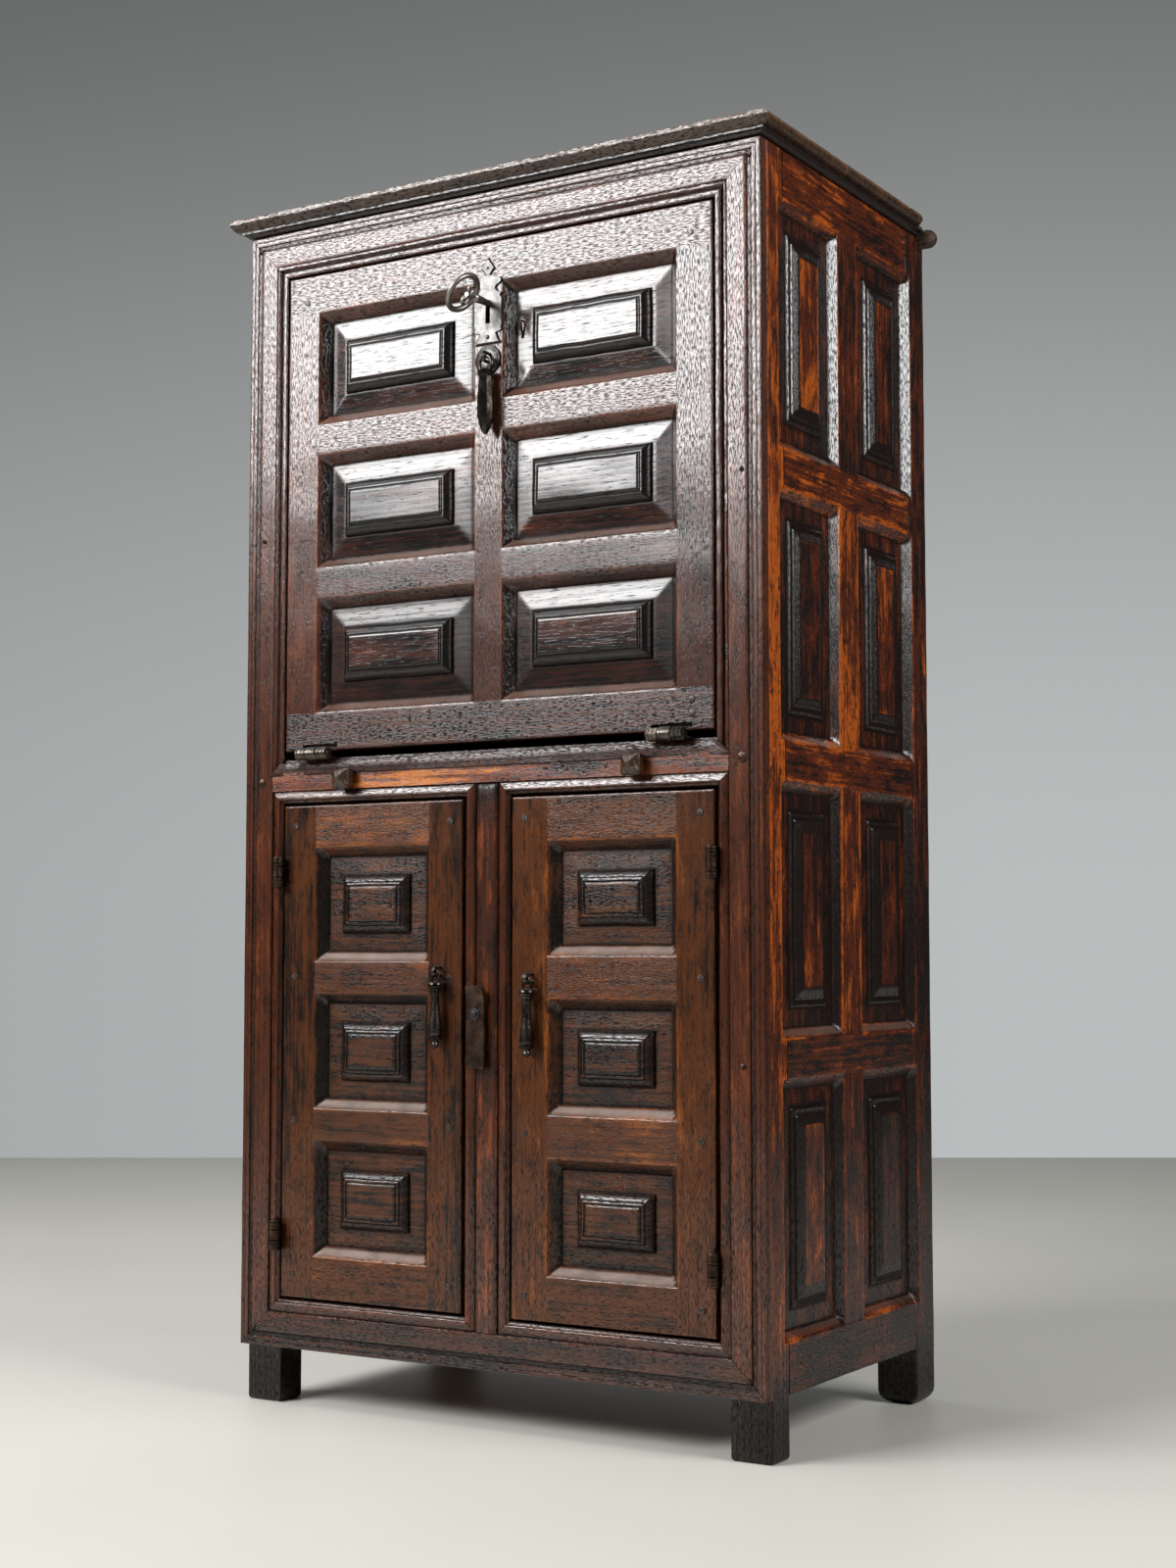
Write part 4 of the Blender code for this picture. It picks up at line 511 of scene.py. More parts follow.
def mitred_bar(start, end, inward, profile, face, seed, wear, dirt, step=0.012, sway=0.0006, chips=()):
    """A bar of a rectangular frame: its section (distance inwards, depth) runs from one 45 degree mitre to the
    other, so each point of the section starts and ends as far in as it lies from the outer edge. The mitres
    gather dirt. A chip (from, to, depth) sets the front back along part of the bar."""
    start = np.array(start, float)
    end = np.array(end, float)
    inward = np.array(inward, float)
    along = (end - start) / np.linalg.norm(end - start)
    offset = np.array([point[0] for point in profile])
    depth = np.array([point[1] for point in profile])
    span = np.linalg.norm(end - start)
    share = grid_lines(0, 1, step / span, (0.0012 / span, 1 - 0.0012 / span))
    length = span - 2 * offset
    distance = offset[None, :] + share[:, None] * length[None, :]
    flat = start + along * distance[..., None] + inward * offset[None, :, None]
    shake = sway * ripple(distance, np.broadcast_to(offset * 6, distance.shape), 0.22, seed)
    shake = shake + 0.45 * sway * ripple(distance, np.broadcast_to(offset * 2, distance.shape), 0.03, seed + 1)
    front = depth < depth.max() - 0.001
    for chip_start, chip_end, chip_depth in chips:
        in_chip = np.minimum(distance - chip_start, chip_end - distance) / 0.003 + 0.3 * ripple(distance, offset, 0.01, seed)
        shake = shake - chip_depth * np.clip(in_chip, 0, 1)
    y = face + depth[None, :] + np.where(front, sway - shake, 0)
    rings = np.stack([flat[..., 0], y, flat[..., 1]], axis=-1)
    at_mitre = np.minimum(share, 1 - share)[:, None] < 0.0006 / span
    return facing_out(carried(rings, wear=wear, dirt=np.where(at_mitre, 1.0, dirt), seed=seed))


frame_oak = old_oak("waxed_frame_oak", "#1a0e09", "#44200f", "#6b3414", 0.44, 0.12, 0.18, crust=0.35)
top_oak = old_oak("polished_fall_oak", "#180f0c", "#402014", "#613421", 0.44, 0.12, 0.165, tooled=0.4, crust=0.3)
frame_width = 0.048
frame_thickness = 0.018
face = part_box("left_stile")[0][1]
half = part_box("right_stile")[1][0]
reed_angle = np.linspace(0, np.pi, 8)
reeds = [(0, frame_thickness)]
for reed in range(3):
    start_angle = 0 if reed == 0 else 1
    for angle in reed_angle[start_angle:]:
        groove = 0.0013 * (1 - max(np.sin(angle), 0) ** 0.3)
        reeds.append(((reed + 0.5 - 0.5 * np.cos(angle)) * 0.0065, groove + (0.0005, 0.0004, 0.0018)[reed]))
reeds += [(0.0203, 0.0006), (0.0215, 0)]
reeds += [(offset, 0) for offset in np.linspace(0.025, frame_width - 0.002, 6)]
reeds += [(frame_width - 0.0006, 0.0004), (frame_width, 0.0014), (frame_width, frame_thickness)]
reed_depth = np.array([point[1] for point in reeds])
reed_wear = np.clip(1 - reed_depth / 0.0012, 0, 1) * 0.05 - 0.03 + 0.07 * (reed_depth > 0.01)
reed_dirt = np.where(reed_depth < 0.01, np.clip((reed_depth - 0.0012) / 0.0015, 0, 1), 0)
frame_bars = {
    "top_rail": ((half, frame_top), (-half, frame_top), (0, -1), top_oak, "glossy_oak", 51, 0.02),
    "bottom_rail": ((-half, frame_low), (half, frame_low), (0, 1), frame_oak, "dark_oak", 53, -0.07),
    "left_stile": ((-half, frame_top), (-half, frame_low), (1, 0), frame_oak, "dark_oak", 55, 0.0),
    "right_stile": ((half, frame_low), (half, frame_top), (-1, 0), frame_oak, "dark_oak", 57, 0.03),
}
bolt_travel = 0.014
mortise_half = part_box("lock_bolt")[1][0] + 0.001
mortise_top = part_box("lock_bolt")[1][2] + bolt_travel + 0.002
for bar_name, (start, end, inward, wood, slot, seed, rubbing) in frame_bars.items():
    parts = [mitred_bar(start, end, inward, reeds, face, seed, reed_wear + rubbing, reed_dirt)]
    low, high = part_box(bar_name)
    if bar_name.endswith("rail"):
        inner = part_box("front_right_post")[0][0] - 0.001
        low_set, high_set = (0.004, 0) if bar_name == "bottom_rail" else (0, 0.004)
        a, u = np.meshgrid(grid_lines(-inner, inner, 0.02, (-mortise_half, mortise_half)),
                           grid_lines(low[2] + low_set, high[2] - high_set, 0.012, (mortise_top,)))
        middle_a = (a[:-1, :-1] + a[1:, 1:]) / 2
        middle_u = (u[:-1, :-1] + u[1:, 1:]) / 2
        solid = (np.abs(middle_a) > mortise_half) | (middle_u > mortise_top) | (bar_name == "bottom_rail")
        parts.append(slab(a, u, -(face + frame_thickness + 0.0002), -high[1], "front", cells=solid, upright=False,
                          seed=seed + 1))
    make_piece("oak_" + bar_name, parts, wood, "case", [bar_name])


# Middle rail and mullion
# The rail between fall and doors is pierced by the two square loper holes, and the mullion stands between the
# doors. Both are worn to warm orange brown where hands and the fall rub.

rail_oak = old_oak("rubbed_rail_oak", "#1d0e08", "#642d12", "#b0641f", 0.42, 0.10, 0.20)
mullion_oak = old_oak("rubbed_mullion_oak", "#1c0f0a", "#3a1b0d", "#7a3a12", 0.44, 0.11, 0.19, crust=0.4)
low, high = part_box("middle_rail")
band_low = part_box("left_door_moulding")[1][2]
band_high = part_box("fall_moulding")[0][2]
loper_half = 0.0110
loper_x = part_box("right_loper")[1][0] - 0.014
loper_z = (band_low + band_high) / 2
hole_marks = [side * loper_x + reach for side in (-1, 1) for reach in (-loper_half, loper_half)]
parts = []
for front_y, back_y, z_low, z_high in ((face, face + frame_thickness, band_low, band_high),
                                       (face + frame_thickness, high[1], low[2], high[2])):
    a, u = np.meshgrid(grid_lines(low[0], high[0], 0.008, hole_marks),
                       grid_lines(z_low, z_high, 0.003, (loper_z - loper_half, loper_z + loper_half)))
    middle_a = (a[:-1, :-1] + a[1:, 1:]) / 2
    middle_u = (u[:-1, :-1] + u[1:, 1:]) / 2
    in_hole = (np.abs(np.abs(middle_a) - loper_x) < loper_half) & (np.abs(middle_u - loper_z) < loper_half)
    front = -front_y - 0.0005 * (1 + ripple(a, u * 4, 0.10, 63))
    wear = 0.13 * np.exp(-((a + 0.13) / 0.13) ** 2) - 0.055 + 0.05 * ripple(a, u, 0.2, 64)
    parts.append(slab(a, u, front, -back_y, "front", cells=~in_hole, upright=False, wear=wear, seed=63))
make_piece("oak_middle_rail", parts, rail_oak, "case", ["middle_rail"])
low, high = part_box("mullion")
a, u = np.meshgrid(grid_lines(low[0], high[0], 0.003, [low[0] + 0.0008, low[0] + 0.002, high[0] - 0.002, high[0] - 0.0008]),
                   grid_lines(low[2], high[2], 0.006, [high[2] - inset for inset in (0.001, 0.003, 0.006, 0.01)]))
edge = np.minimum(a - low[0], high[0] - a)
arch = np.minimum(edge, 0.6 * (high[2] - u))
front = -face - quarter_round(arch, 0.006) - 0.0007 * (1 + ripple(a, u, 0.12, 61))
rubbed = 0.05 * np.exp(-((a - (low[0] + high[0]) / 2) / 0.012) ** 2) + 0.08 * ripple(a, u, 0.2, 62)
# Painted shade: the top is painted darker and duller where it meets the rail.
mullion = slab(a, u, front, -high[1], "front", wear=rubbed - 0.12 * np.exp(-(high[2] - u) / 0.04),
               dirt=np.exp(-(high[2] - u) / 0.012), seed=61)
make_piece("oak_mullion", [mullion], mullion_oak, "case", ["mullion"])


# Mouldings round the openings
# Oak strips mitred round the fall and each door: a hollow and a bead round the fall, a broad thumb and a hollow
# round the doors. The length under the fall is a square ledge, worn and chipped by the hinges.

def moulding_frame(node, profiles, seed, chips):
    """Four mitred bars round an opening; the first profile is that of the lowest bar, with how dirty it is."""
    low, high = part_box(node)
    corners = [(low[0], low[2]), (high[0], low[2]), (high[0], high[2]), (low[0], high[2])]
    inwards = [(0, 1), (-1, 0), (0, -1), (1, 0)]
    parts = []
    for side in range(4):
        profile, soiled = profiles[min(side, 1)]
        depth = np.array([point[1] for point in profile])
        wear = 0.06 * np.clip(1 - depth / 0.0022, 0, 1) - 0.04 + 0.1 * soiled
        dirt = np.where(depth < 0.012, soiled + np.clip((depth - 0.0042) / 0.001, 0, 1 - soiled), 0)
        parts.append(mitred_bar(corners[side], corners[(side + 1) % 4], inwards[side], profile, low[1], seed + side,
                                wear, dirt, sway=0.0008, step=0.008, chips=chips if side == 0 else ()))
    return parts


bead = [(0.0132 - 0.0046 * np.cos(t), 0.0046 - 0.0034 * np.sin(t) ** 0.4) for t in np.linspace(0.03, np.pi - 0.03, 14)]
fall_profile = [(0, 0.0176), (0, 0.0006), (0.0007, 0.0001), (0.0036, 0.0002), (0.0044, 0.0010), (0.0058, 0.0032),
                (0.0072, 0.0046), (0.0082, 0.0050), *bead, (0.0178, 0.0060), (0.0178, 0.0176)]
ledge_profile = [(0, 0.0176), (0, 0.0006), (-0.0040, 0.0004), (-0.0040, -0.0018), (-0.0034, -0.0024), (0.0030, -0.0025),
                 (0.0132, -0.0024), (0.0139, -0.0019), (0.0142, -0.0008), (0.0143, 0.0030), (0.0178, 0.0034),
                 (0.0178, 0.0176)]
thumb = [(o, 0.0032 - 0.0040 * np.sin(o / 0.0116 * np.pi / 2) ** 0.9) for o in np.linspace(0.0004, 0.0116, 12)]
door_profile = [(0, 0.0176), (0, 0.0034), *thumb, (0.0126, -0.0002), (0.0132, 0.0014), (0.0136, 0.0022),
                (0.0152, 0.0034), (0.0170, 0.0046), (0.0178, 0.0060), (0.0178, 0.0176)]
ledge_chips = [(0.012, 0.060, 0.0024), (0.118, 0.126, 0.0010), (0.62, 0.71, 0.0022)]
make_piece("oak_fall_moulding", moulding_frame("fall_moulding", ((ledge_profile, 0.6), (fall_profile, 0)), 71, ledge_chips), top_oak,
           "case", ["fall_moulding"])
for side, seed in (("left", 76), ("right", 81)):
    node = f"{side}_door_moulding"
    make_piece("oak_" + node, moulding_frame(node, ((door_profile, 0), (door_profile, 0)), seed, ()), frame_oak, "case", [node])


# Fall
# The drop front: two stiles, a muntin and four rails pegged together, holding six raised panels. Its upper part
# is polished by hands and wax, and shows the light.

def panelled_leaf(node, panels, chamfer, depth, through, leaf_front, seed, edge_wear, tones, dust, head, cut=None,
                  sunk=()):
    """A frame as one height field with an opening at each panel. Tones are the wear of its rails, from the lowest up,
    and of its uprights, from the left; on the fall the darker tones of the lowest rails are painted shade. A cut (left,
    right, low, high) goes through it, and sunk ones lower its face by a depth."""
    low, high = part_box(node)
    tongue = 0.0072
    reach = chamfer - tongue
    openings = []
    for panel in panels:
        p_low, p_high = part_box(panel)
        openings.append((p_low[0] - reach, p_high[0] + reach, p_low[2] - reach, p_high[2] + reach))
    a_marks, u_marks = [], []
    for left, right, bottom, top in openings:
        for shift in (*arris_marks, chamfer):
            a_marks += [left + shift, right - shift]
            u_marks += [bottom + shift, top - shift]
    for mark in (0.0003, 0.0009, 0.0018):
        a_marks += [low[0] + mark, high[0] - mark]
        u_marks += [low[2] + mark, high[2] - mark]
    for left, right, bottom, top in [*sunk, *([cut] if cut else [])]:
        a_marks += [left, left + 0.0004, right - 0.0004, right]
        u_marks += [bottom, top - 0.0004, top]
    a, u = np.meshgrid(grid_lines(low[0], high[0], 0.0042, a_marks), grid_lines(low[2], high[2], 0.0042, u_marks))
    fall, wear, dirt = chamfered(a, u, openings, chamfer, depth, dust, head)
    middle_a = (a[:-1, :-1] + a[1:, 1:]) / 2
    middle_u = (u[:-1, :-1] + u[1:, 1:]) / 2
    kept = np.max([inside(middle_a, middle_u, opening) for opening in openings], axis=0) < chamfer
    if cut:
        kept = kept & (inside(middle_a, middle_u, cut) < 0)
    upright, member, _ = members(middle_a, middle_u, openings, through)
    _, number, joint = members(a, u, openings, through)
    tone = np.zeros(80)
    tone[:len(tones[0])] = tones[0]
    tone[20:20 + 10 * len(tones[1]):10] = tones[1]
    tone = tone[number]
    dirt = np.where(joint, 0.8, dirt)
    edge = np.minimum(np.minimum(a - low[0], high[0] - a), np.minimum(u - low[2], high[2] - u))
    front = leaf_front - fall - quarter_round(edge, 0.0018) - 0.0005 * (1 + ripple(a, u, 0.14, seed + 3))
    front = front - 0.0006 * joint
    for hollow in sunk:
        front = front - 0.010 * (inside(a, u, hollow) > 0.0003)
    wear = wear + tone + 0.05 * np.exp(-(edge / 0.003) ** 2) + 0.06 * ripple(a, u, 0.4, seed + 4)
    wear = wear + edge_wear * np.exp(-edge / 0.016)
    a, u = uneven(a, u, 0.0004, seed + 5)
    part = slab(a, u, front, -high[1], "front", cells=kept, upright=upright, member=member, wear=wear, dirt=dirt,
                seed=seed)
    return part, openings


fall_chamfer = 0.0145
# Painted shade: the fall's lowest rails are given darker tones, as less of the lamps' sheen falls low on the fall.
fall_tones = ((-0.07, -0.04, 0.02, 0.02), (0.05, 0.02, -0.03))
fall_chamfer_depth = 0.016
fall_panels = [f"fall_panel_{number}" for number in range(1, 7)]
fall_front = -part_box("fall_frame")[0][1]
fall_low, fall_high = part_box("fall_frame")
key_z = fall_high[2] - 0.084
keyhole_slot = (-0.0037, 0.0037, key_z - 0.028, key_z + 0.0047)
hinge_x = 0.280
hinge_notches = [(side * hinge_x - 0.030, side * hinge_x + 0.030, fall_low[2] - 0.002, fall_low[2] + 0.009)
                 for side in (-1, 1)]
fall_frame, fall_openings = panelled_leaf("fall_frame", fall_panels, fall_chamfer, fall_chamfer_depth,
                                          "end rails", fall_front, 91, 0.0, fall_tones, 0.8, -0.02, keyhole_slot, hinge_notches)
make_piece("oak_fall_frame", [fall_frame], top_oak, "fall", ["fall_frame"])
fall_steps = [(0, 0), (0.0265, 0.0036), (0.0282, 0.0036), (0.0290, 0.0070), (0.0304, 0.0092), (0.0328, 0.0116),
              (0.0356, 0.0136), (0.0376, 0.0144), (0.0382, 0.0150), (0.0398, 0.0151), (0.0404, 0.0144),
              (0.0414, 0.0144), (0.0420, 0.0162), (0.0434, 0.0172), (0.0450, 0.0174), (0.07, 0.0174)]
# The panels show more contrast than the frame: grey black grain against rubbed red brown.
panel_oak = old_oak("polished_panel_oak", "#12100f", "#351c14", "#6d3a22", 0.44, 0.10, 0.15, tooled=0.15,
                    pore=(44, 520, 0.56, 0.35))
for number, panel in enumerate(fall_panels):
    opening = np.array(fall_openings[number])
    rect = opening + np.array([1, -1, 1, -1]) * (fall_chamfer - 0.001)
    part = raised_panel(rect, fall_steps, fall_front - fall_chamfer_depth - 0.0004, -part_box(panel)[1][1], "front",
                        False, 100 + number, -0.03 - 0.05 * (number < 2), -0.04, 0.0036, (0, 0, 0.1, 0, 0.45, 0.2)[number])
    make_piece("oak_" + panel, [part], panel_oak, "fall", [panel])


# Doors
# Two doors with full-height stiles and three raised panels each, darker than the fall and rubbed brown on the
# rails and stiles.

# The doors' pale dust colour on their lowest chamfers is partly dust and partly a painted top light.
door_oak = old_oak("waxed_door_oak", "#150c08", "#4c270e", "#7d4316", 0.43, 0.14, 0.20, wax=0.46,
                   patch=(15, 44), dust_and_top_light_colour="#8d8079", crust=0.4)
door_steps = [(0, 0), (0.024, 0.0012), (0.0256, 0.0013), (0.0262, 0.0044), (0.0300, 0.0082), (0.0335, 0.0106),
              (0.0352, 0.0110), (0.0358, 0.0102), (0.0366, 0.0119), (0.0388, 0.0130), (0.0400, 0.0129),
              (0.0408, 0.0119), (0.0420, 0.0134), (0.0440, 0.0140), (0.06, 0.0140)]
door_tones = {"left": ((-0.01, -0.02, -0.02, 0.05), (-0.05, -0.05)), "right": ((-0.02, 0.0, 0.01, 0.02), (0.03, 0.01))}
for side, seed in (("left", 121), ("right", 141)):
    node = f"{side}_door_frame"
    panels = [f"{side}_door_panel_{number}" for number in range(1, 4)]
    door_front = fall_front
    # The doors' head of 0.09 paints their upper chamfers darker: painted shade.
    part, openings = panelled_leaf(node, panels, fall_chamfer, fall_chamfer_depth, "stiles", door_front, seed, -0.08,
                                   door_tones[side], 1.1, 0.09)
    make_piece("oak_" + node, [part], door_oak, f"{side}_door", [node])
    for number, panel in enumerate(panels):
        rect = np.array(openings[number]) + np.array([1, -1, 1, -1]) * (fall_chamfer - 0.001)
        part = raised_panel(rect, door_steps, door_front - fall_chamfer_depth - 0.0004, -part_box(panel)[1][1],
                            "front", False, seed + 5 + number, -0.08, -0.08, 0.0036, riser_dirt_and_shade=0.1)
        make_piece("oak_" + panel, [part], door_oak, f"{side}_door", [panel])


# Top board and cornice
# A flat top of joined boards whose nose slopes back under a worn lip, over a strip with a fillet and a cove.

# The cornice strip under the top's overhang is painted nearly black: painted shade.
cornice_painted_shade_oak = old_oak("cornice_oak_painted_shade", "#0b0706", "#170d09", "#2a180f", 0.45, 0.10, 0.36, grain_axis="x")
board_oak = old_oak("smoked_board_oak", "#1a110c", "#392518", "#5c4029", 0.44, 0.10, 0.26)
low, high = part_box("top_board")
overhang = high[0] - half
across = grid_lines(-1, 1, 0.012, [side * (1 - inset / half) for side in (-1, 1)
                                   for inset in (0.0003, 0.001, 0.002, 0.0035, 0.0055, 0.008, 0.012)])
depth = grid_lines(low[1], high[1], 0.010, [low[1] + inset for inset in (0.0004, 0.001, 0.0022, 0.004, 0.007, 0.011, 0.016)])
s_across, u = np.meshgrid(across, depth)
past_stop = np.clip((u - (high[1] - 0.054)) / 0.018, 0, 1)
reach = half + overhang * np.sqrt(np.maximum(1 - past_stop ** 2, 0))
a = s_across * reach
edge = np.minimum(reach - np.abs(a), u - low[1])
thickness = high[2] - low[2]
boards = np.abs((u - low[1] + 0.02) % 0.185 - 0.0925)
gap = 0.0022 * np.exp(-(boards / 0.0014) ** 2)
worn_lip = 0.0008 * ripple(a, u, 0.06, 161) + 0.0008 * ripple(a, u, 0.021, 162)
side_edge = reach - np.abs(a)
front_edge = u - low[1]
lip = 0.0056
front_nose = (thickness - lip) * np.clip(1 - front_edge / (0.48 * overhang), 0, 1)
top = high[2] - np.maximum(quarter_round(side_edge, 0.0080), quarter_round(front_edge, 0.0022))
top = top - gap - np.abs(worn_lip)
under = low[2] + np.maximum(quarter_round(side_edge, 0.0070), front_nose)
a = a + np.sign(a) * np.where(np.abs(s_across) > 0.999, worn_lip, 0)
u_worn = u + np.where(u < low[1] + 0.0005, -worn_lip + 0.0006, 0)
lip_wear = 0.12 * np.exp(-(edge / 0.0022) ** 2) + 0.05 * ripple(a, u, 0.2, 163)
board = slab(a, u_worn, top, under, "top", upright=False, wear=lip_wear, dirt=np.clip(gap / 0.0022, 0, 1), seed=161)
make_piece("oak_top_board", [facing_out(board)], board_oak, "case", ["top_board"])
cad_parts["cornice_moulding"].data.materials.clear()
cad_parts["cornice_moulding"].data.materials.append(cornice_painted_shade_oak)


# Batten ends
# The batten that holds the top boards together at the back comes through at both sides as a worn, dull nose of end
# grain, whittled round.
nose_oak = old_oak("worn_batten_oak", "#17100c", "#35261d", "#5f4c3f", 0.44, 0.14, 0.5, wax=0.3, crust=0.4)
nose_y = back_high[1] - 0.0126
nose_z = frame_top - 0.0015
nose = []
for side in (-1, 1):
    angle = np.linspace(0, 2 * np.pi, 27, endpoint=False)
    reach = np.array([-0.002, 0.004, 0.013, 0.0185, 0.0225, 0.0252, 0.0265])
    size = np.array([0.0140, 0.0143, 0.0134, 0.0119, 0.0094, 0.0058, 0.0018])
    uneven_size = size[:, None] * (1 + 0.16 * ripple(reach[:, None] * 3, 0.02 * np.cos(angle)[None, :], 0.05, 171 + side))
    rings = np.stack([np.broadcast_to((side * (half + reach))[:, None], uneven_size.shape),
                      nose_y + uneven_size * np.cos(angle), nose_z + uneven_size * np.sin(angle)], axis=-1)
    nose.append(facing_out(carried(rings, wear=0.05, seed=173)))
make_piece("oak_batten_ends", nose, nose_oak, "case", crease=50)


# Inside
# Planed, unfinished oak: the bottom, the partition and the cross rail that guides the lopers.

raw_oak = old_oak("planed_raw_oak", "#5b3f28", "#7d5a3a", "#8d6a45", 0.42, 0.15, 0.45, grain_axis="x")
for node in ("bottom_board", "partition_board", "loper_guide"):
    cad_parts[node].data.materials.clear()
    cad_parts[node].data.materials.append(raw_oak)


# Back boards
# Five upright oak boards, sawn, never planed outside, butted edge to edge with gaps that have opened with age, and
# nailed at top and bottom.
sawn_oak = old_oak("sawn_back_oak", "#33231a", "#553b28", "#6b4d35", 0.43, 0.15, 0.55, tooled=1.2, wax=0.3)
low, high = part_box("back_panel")
board_edges = low[0] + (high[0] - low[0]) * np.array([0, 0.185, 0.41, 0.60, 0.815, 1])
into_posts = 0.0015
board_edges[0] -= into_posts
board_edges[-1] += into_posts
board_tones = (-0.03, 0.05, -0.06, 0.02, -0.01)
boards, nails = [], []
for number, tone in enumerate(board_tones):
    left, right = board_edges[number] + 0.0005, board_edges[number + 1] - 0.0005
    a, u = np.meshgrid(grid_lines(left, right, 0.012, (left + 0.0008, left + 0.002, right - 0.002, right - 0.0008)),
                       grid_lines(low[2], high[2], 0.012))
    edge = np.minimum(a - left, right - a)
    outer = high[1] - quarter_round(edge, 0.002) - 0.0006 * (1 + ripple(a, u * 0.4, 0.09, 301 + number))
    wear = tone + 0.08 * ripple(a, u, 0.5, 311 + number) - 0.10 * np.exp(-(u - low[2]) / 0.08)
    grime = 0.8 * np.exp(-edge / 0.002) + 0.25 * np.exp(-edge / 0.015)
    boards.append(slab(a, u, outer, low[1], "back", wear=wear, dirt=grime, seed=321 + number, behind=1))
    for x in (left + 0.028, right - 0.028):
        for z in (low[2] + 0.022, high[2] - 0.024):
            nails.append((x, high[1] - 0.0008, z))
make_piece("oak_back_boards", boards, sawn_oak, "case", ["back_panel"])


# Ironwork
# Wrought iron, hammered and blackened, bright where it is handled.

def wrought_iron(name, dark, bright, rust, rust_from, polish):
    """Forged iron: hammered facets, rubbed bright spots and brown rust in the hollows."""
    material = bpy.data.materials.new(name)
    material.use_nodes = True
    material.node_tree.nodes.clear()
    place = add_node(material, "TexCoord").outputs["Object"]
    hammer = add_node(material, "TexVoronoi", {"Vector": place, "Scale": 160}, feature="SMOOTH_F1")
    grit = add_node(material, "TexNoise", {"Vector": place, "Scale": 420, "Detail": 6, "Roughness": 0.7})
    cloud = add_node(material, "TexNoise", {"Vector": place, "Scale": 55, "Detail": 5, "Roughness": 0.65})
    rubbed = add_node(material, "MapRange", {"Value": cloud.outputs[0], "From Min": 0.42, "From Max": 0.68})
    base = add_node(material, "Mix", {"Factor": rubbed.outputs[0], "A": linear(dark), "B": linear(bright)},
                    data_type="RGBA")
    brown = add_node(material, "MapRange", {"Value": grit.outputs[0], "From Min": rust_from,
                                            "From Max": rust_from + 0.12})
    colour = add_node(material, "Mix", {"Factor": brown.outputs[0], "A": base.outputs["Result"], "B": linear(rust)},
                      data_type="RGBA")
    # Painted shade: the dirt attribute mixes the iron to nearly black, for the shadow round the lock plate's and the
    # rosette's edges.
    dirt = add_node(material, "Attribute", attribute_name="dirt")
    painted_edge_shade = add_node(material, "Mix", {"Factor": dirt.outputs["Fac"], "A": colour.outputs["Result"],
                                        "B": linear("#0d0b0a")}, data_type="RGBA")
    rough = add_node(material, "MapRange", {"Value": grit.outputs[0], "From Min": 0.3, "From Max": 0.75,
                                            "To Min": polish, "To Max": polish + 0.22})
    height = add_node(material, "Math", {0: grit.outputs[0], 1: 0.3, 2: hammer.outputs["Distance"]},
                      operation="MULTIPLY_ADD")
    bump = add_node(material, "Bump", {"Height": height.outputs[0], "Strength": 0.3, "Distance": 0.0006})
    shader = add_node(material, "BsdfPrincipled", {"Base Color": painted_edge_shade.outputs["Result"], "Metallic": 0.9,
                                                   "Roughness": rough.outputs[0], "Normal": bump.outputs[0]})
    add_node(material, "OutputMaterial", {"Surface": shader.outputs[0]})
    return material


bright_iron = wrought_iron("rubbed_wrought_iron", "#3c3b3a", "#5e5d5c", "#2b2420", 0.62, 0.24)
handled_iron = wrought_iron("handled_wrought_iron", "#6a6660", "#a09b94", "#4a3f36", 0.66, 0.26)
black_iron = wrought_iron("blackened_wrought_iron", "#2b2724", "#5c544d", "#241812", 0.62, 0.15)
hinge_iron = wrought_iron("greasy_wrought_iron", "#332e2a", "#6c645b", "#2c1e16", 0.60, 0.20)
rusty_iron = wrought_iron("rusty_wrought_iron", "#2a211c", "#57493f", "#3f2417", 0.50, 0.26)
for node in ("lock_case", "lock_bolt"):
    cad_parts[node].data.materials.clear()
    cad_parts[node].data.materials.append(bright_iron)


def turned(start, direction, profile, sides=32, facets=0, seed=1, dirt=0.0):
    """A profile of (distance along, radius) turned round an axis. With facets the round is flattened to a
    polygon: the radius is multiplied by the cosine of half a facet over the cosine of the angle off its middle."""
    direction = np.array(direction, float)
    first = np.roll(direction, 1)
    second = np.cross(direction, first)
    angle = np.linspace(0, 2 * np.pi, sides, endpoint=False)
    flat = np.ones(sides)
    if facets:
        step = 2 * np.pi / facets
        flat = math.cos(step / 2) / np.cos(angle % step - step / 2)
    distance = np.array([point[0] for point in profile])
    radius = np.array([point[1] for point in profile])
    circle = (np.cos(angle)[:, None] * first + np.sin(angle)[:, None] * second) * flat[:, None]
    rings = np.array(start) + distance[:, None, None] * direction + radius[:, None, None] * circle
    return facing_out(carried(rings, dirt=np.broadcast_to(dirt, len(profile))[:, None], seed=seed))


def bent_wire(path, radius, across, closed=False, sides=14, seed=1):
    """A round wire along a flat path: circles square to the path, whose plane has the normal named across."""
    path = np.array(path, float)
    ahead = np.roll(path, -1, axis=0) - np.roll(path, 1, axis=0) if closed else np.gradient(path, axis=0)
    ahead = ahead / np.linalg.norm(ahead, axis=1)[:, None]
    across = np.broadcast_to(np.array(across, float), path.shape)
    beside = np.cross(ahead, across)
    angle = np.linspace(0, 2 * np.pi, sides, endpoint=False)
    thick = np.broadcast_to(radius, len(path))[:, None, None]
    rings = path[:, None] + thick * (np.cos(angle)[:, None] * across[:, None] + np.sin(angle)[:, None] * beside[:, None])
    return facing_out(carried(rings, closed_path=closed, seed=seed))


def moved(part, angle, place):
    """The part turned about Y at the origin, then put in place."""
    x, y, z = part["points"].T
    c, s = math.cos(angle), math.sin(angle)
    return {**part, "points": np.stack([x * c + z * s, y, z * c - x * s], axis=-1) + np.array(place)}
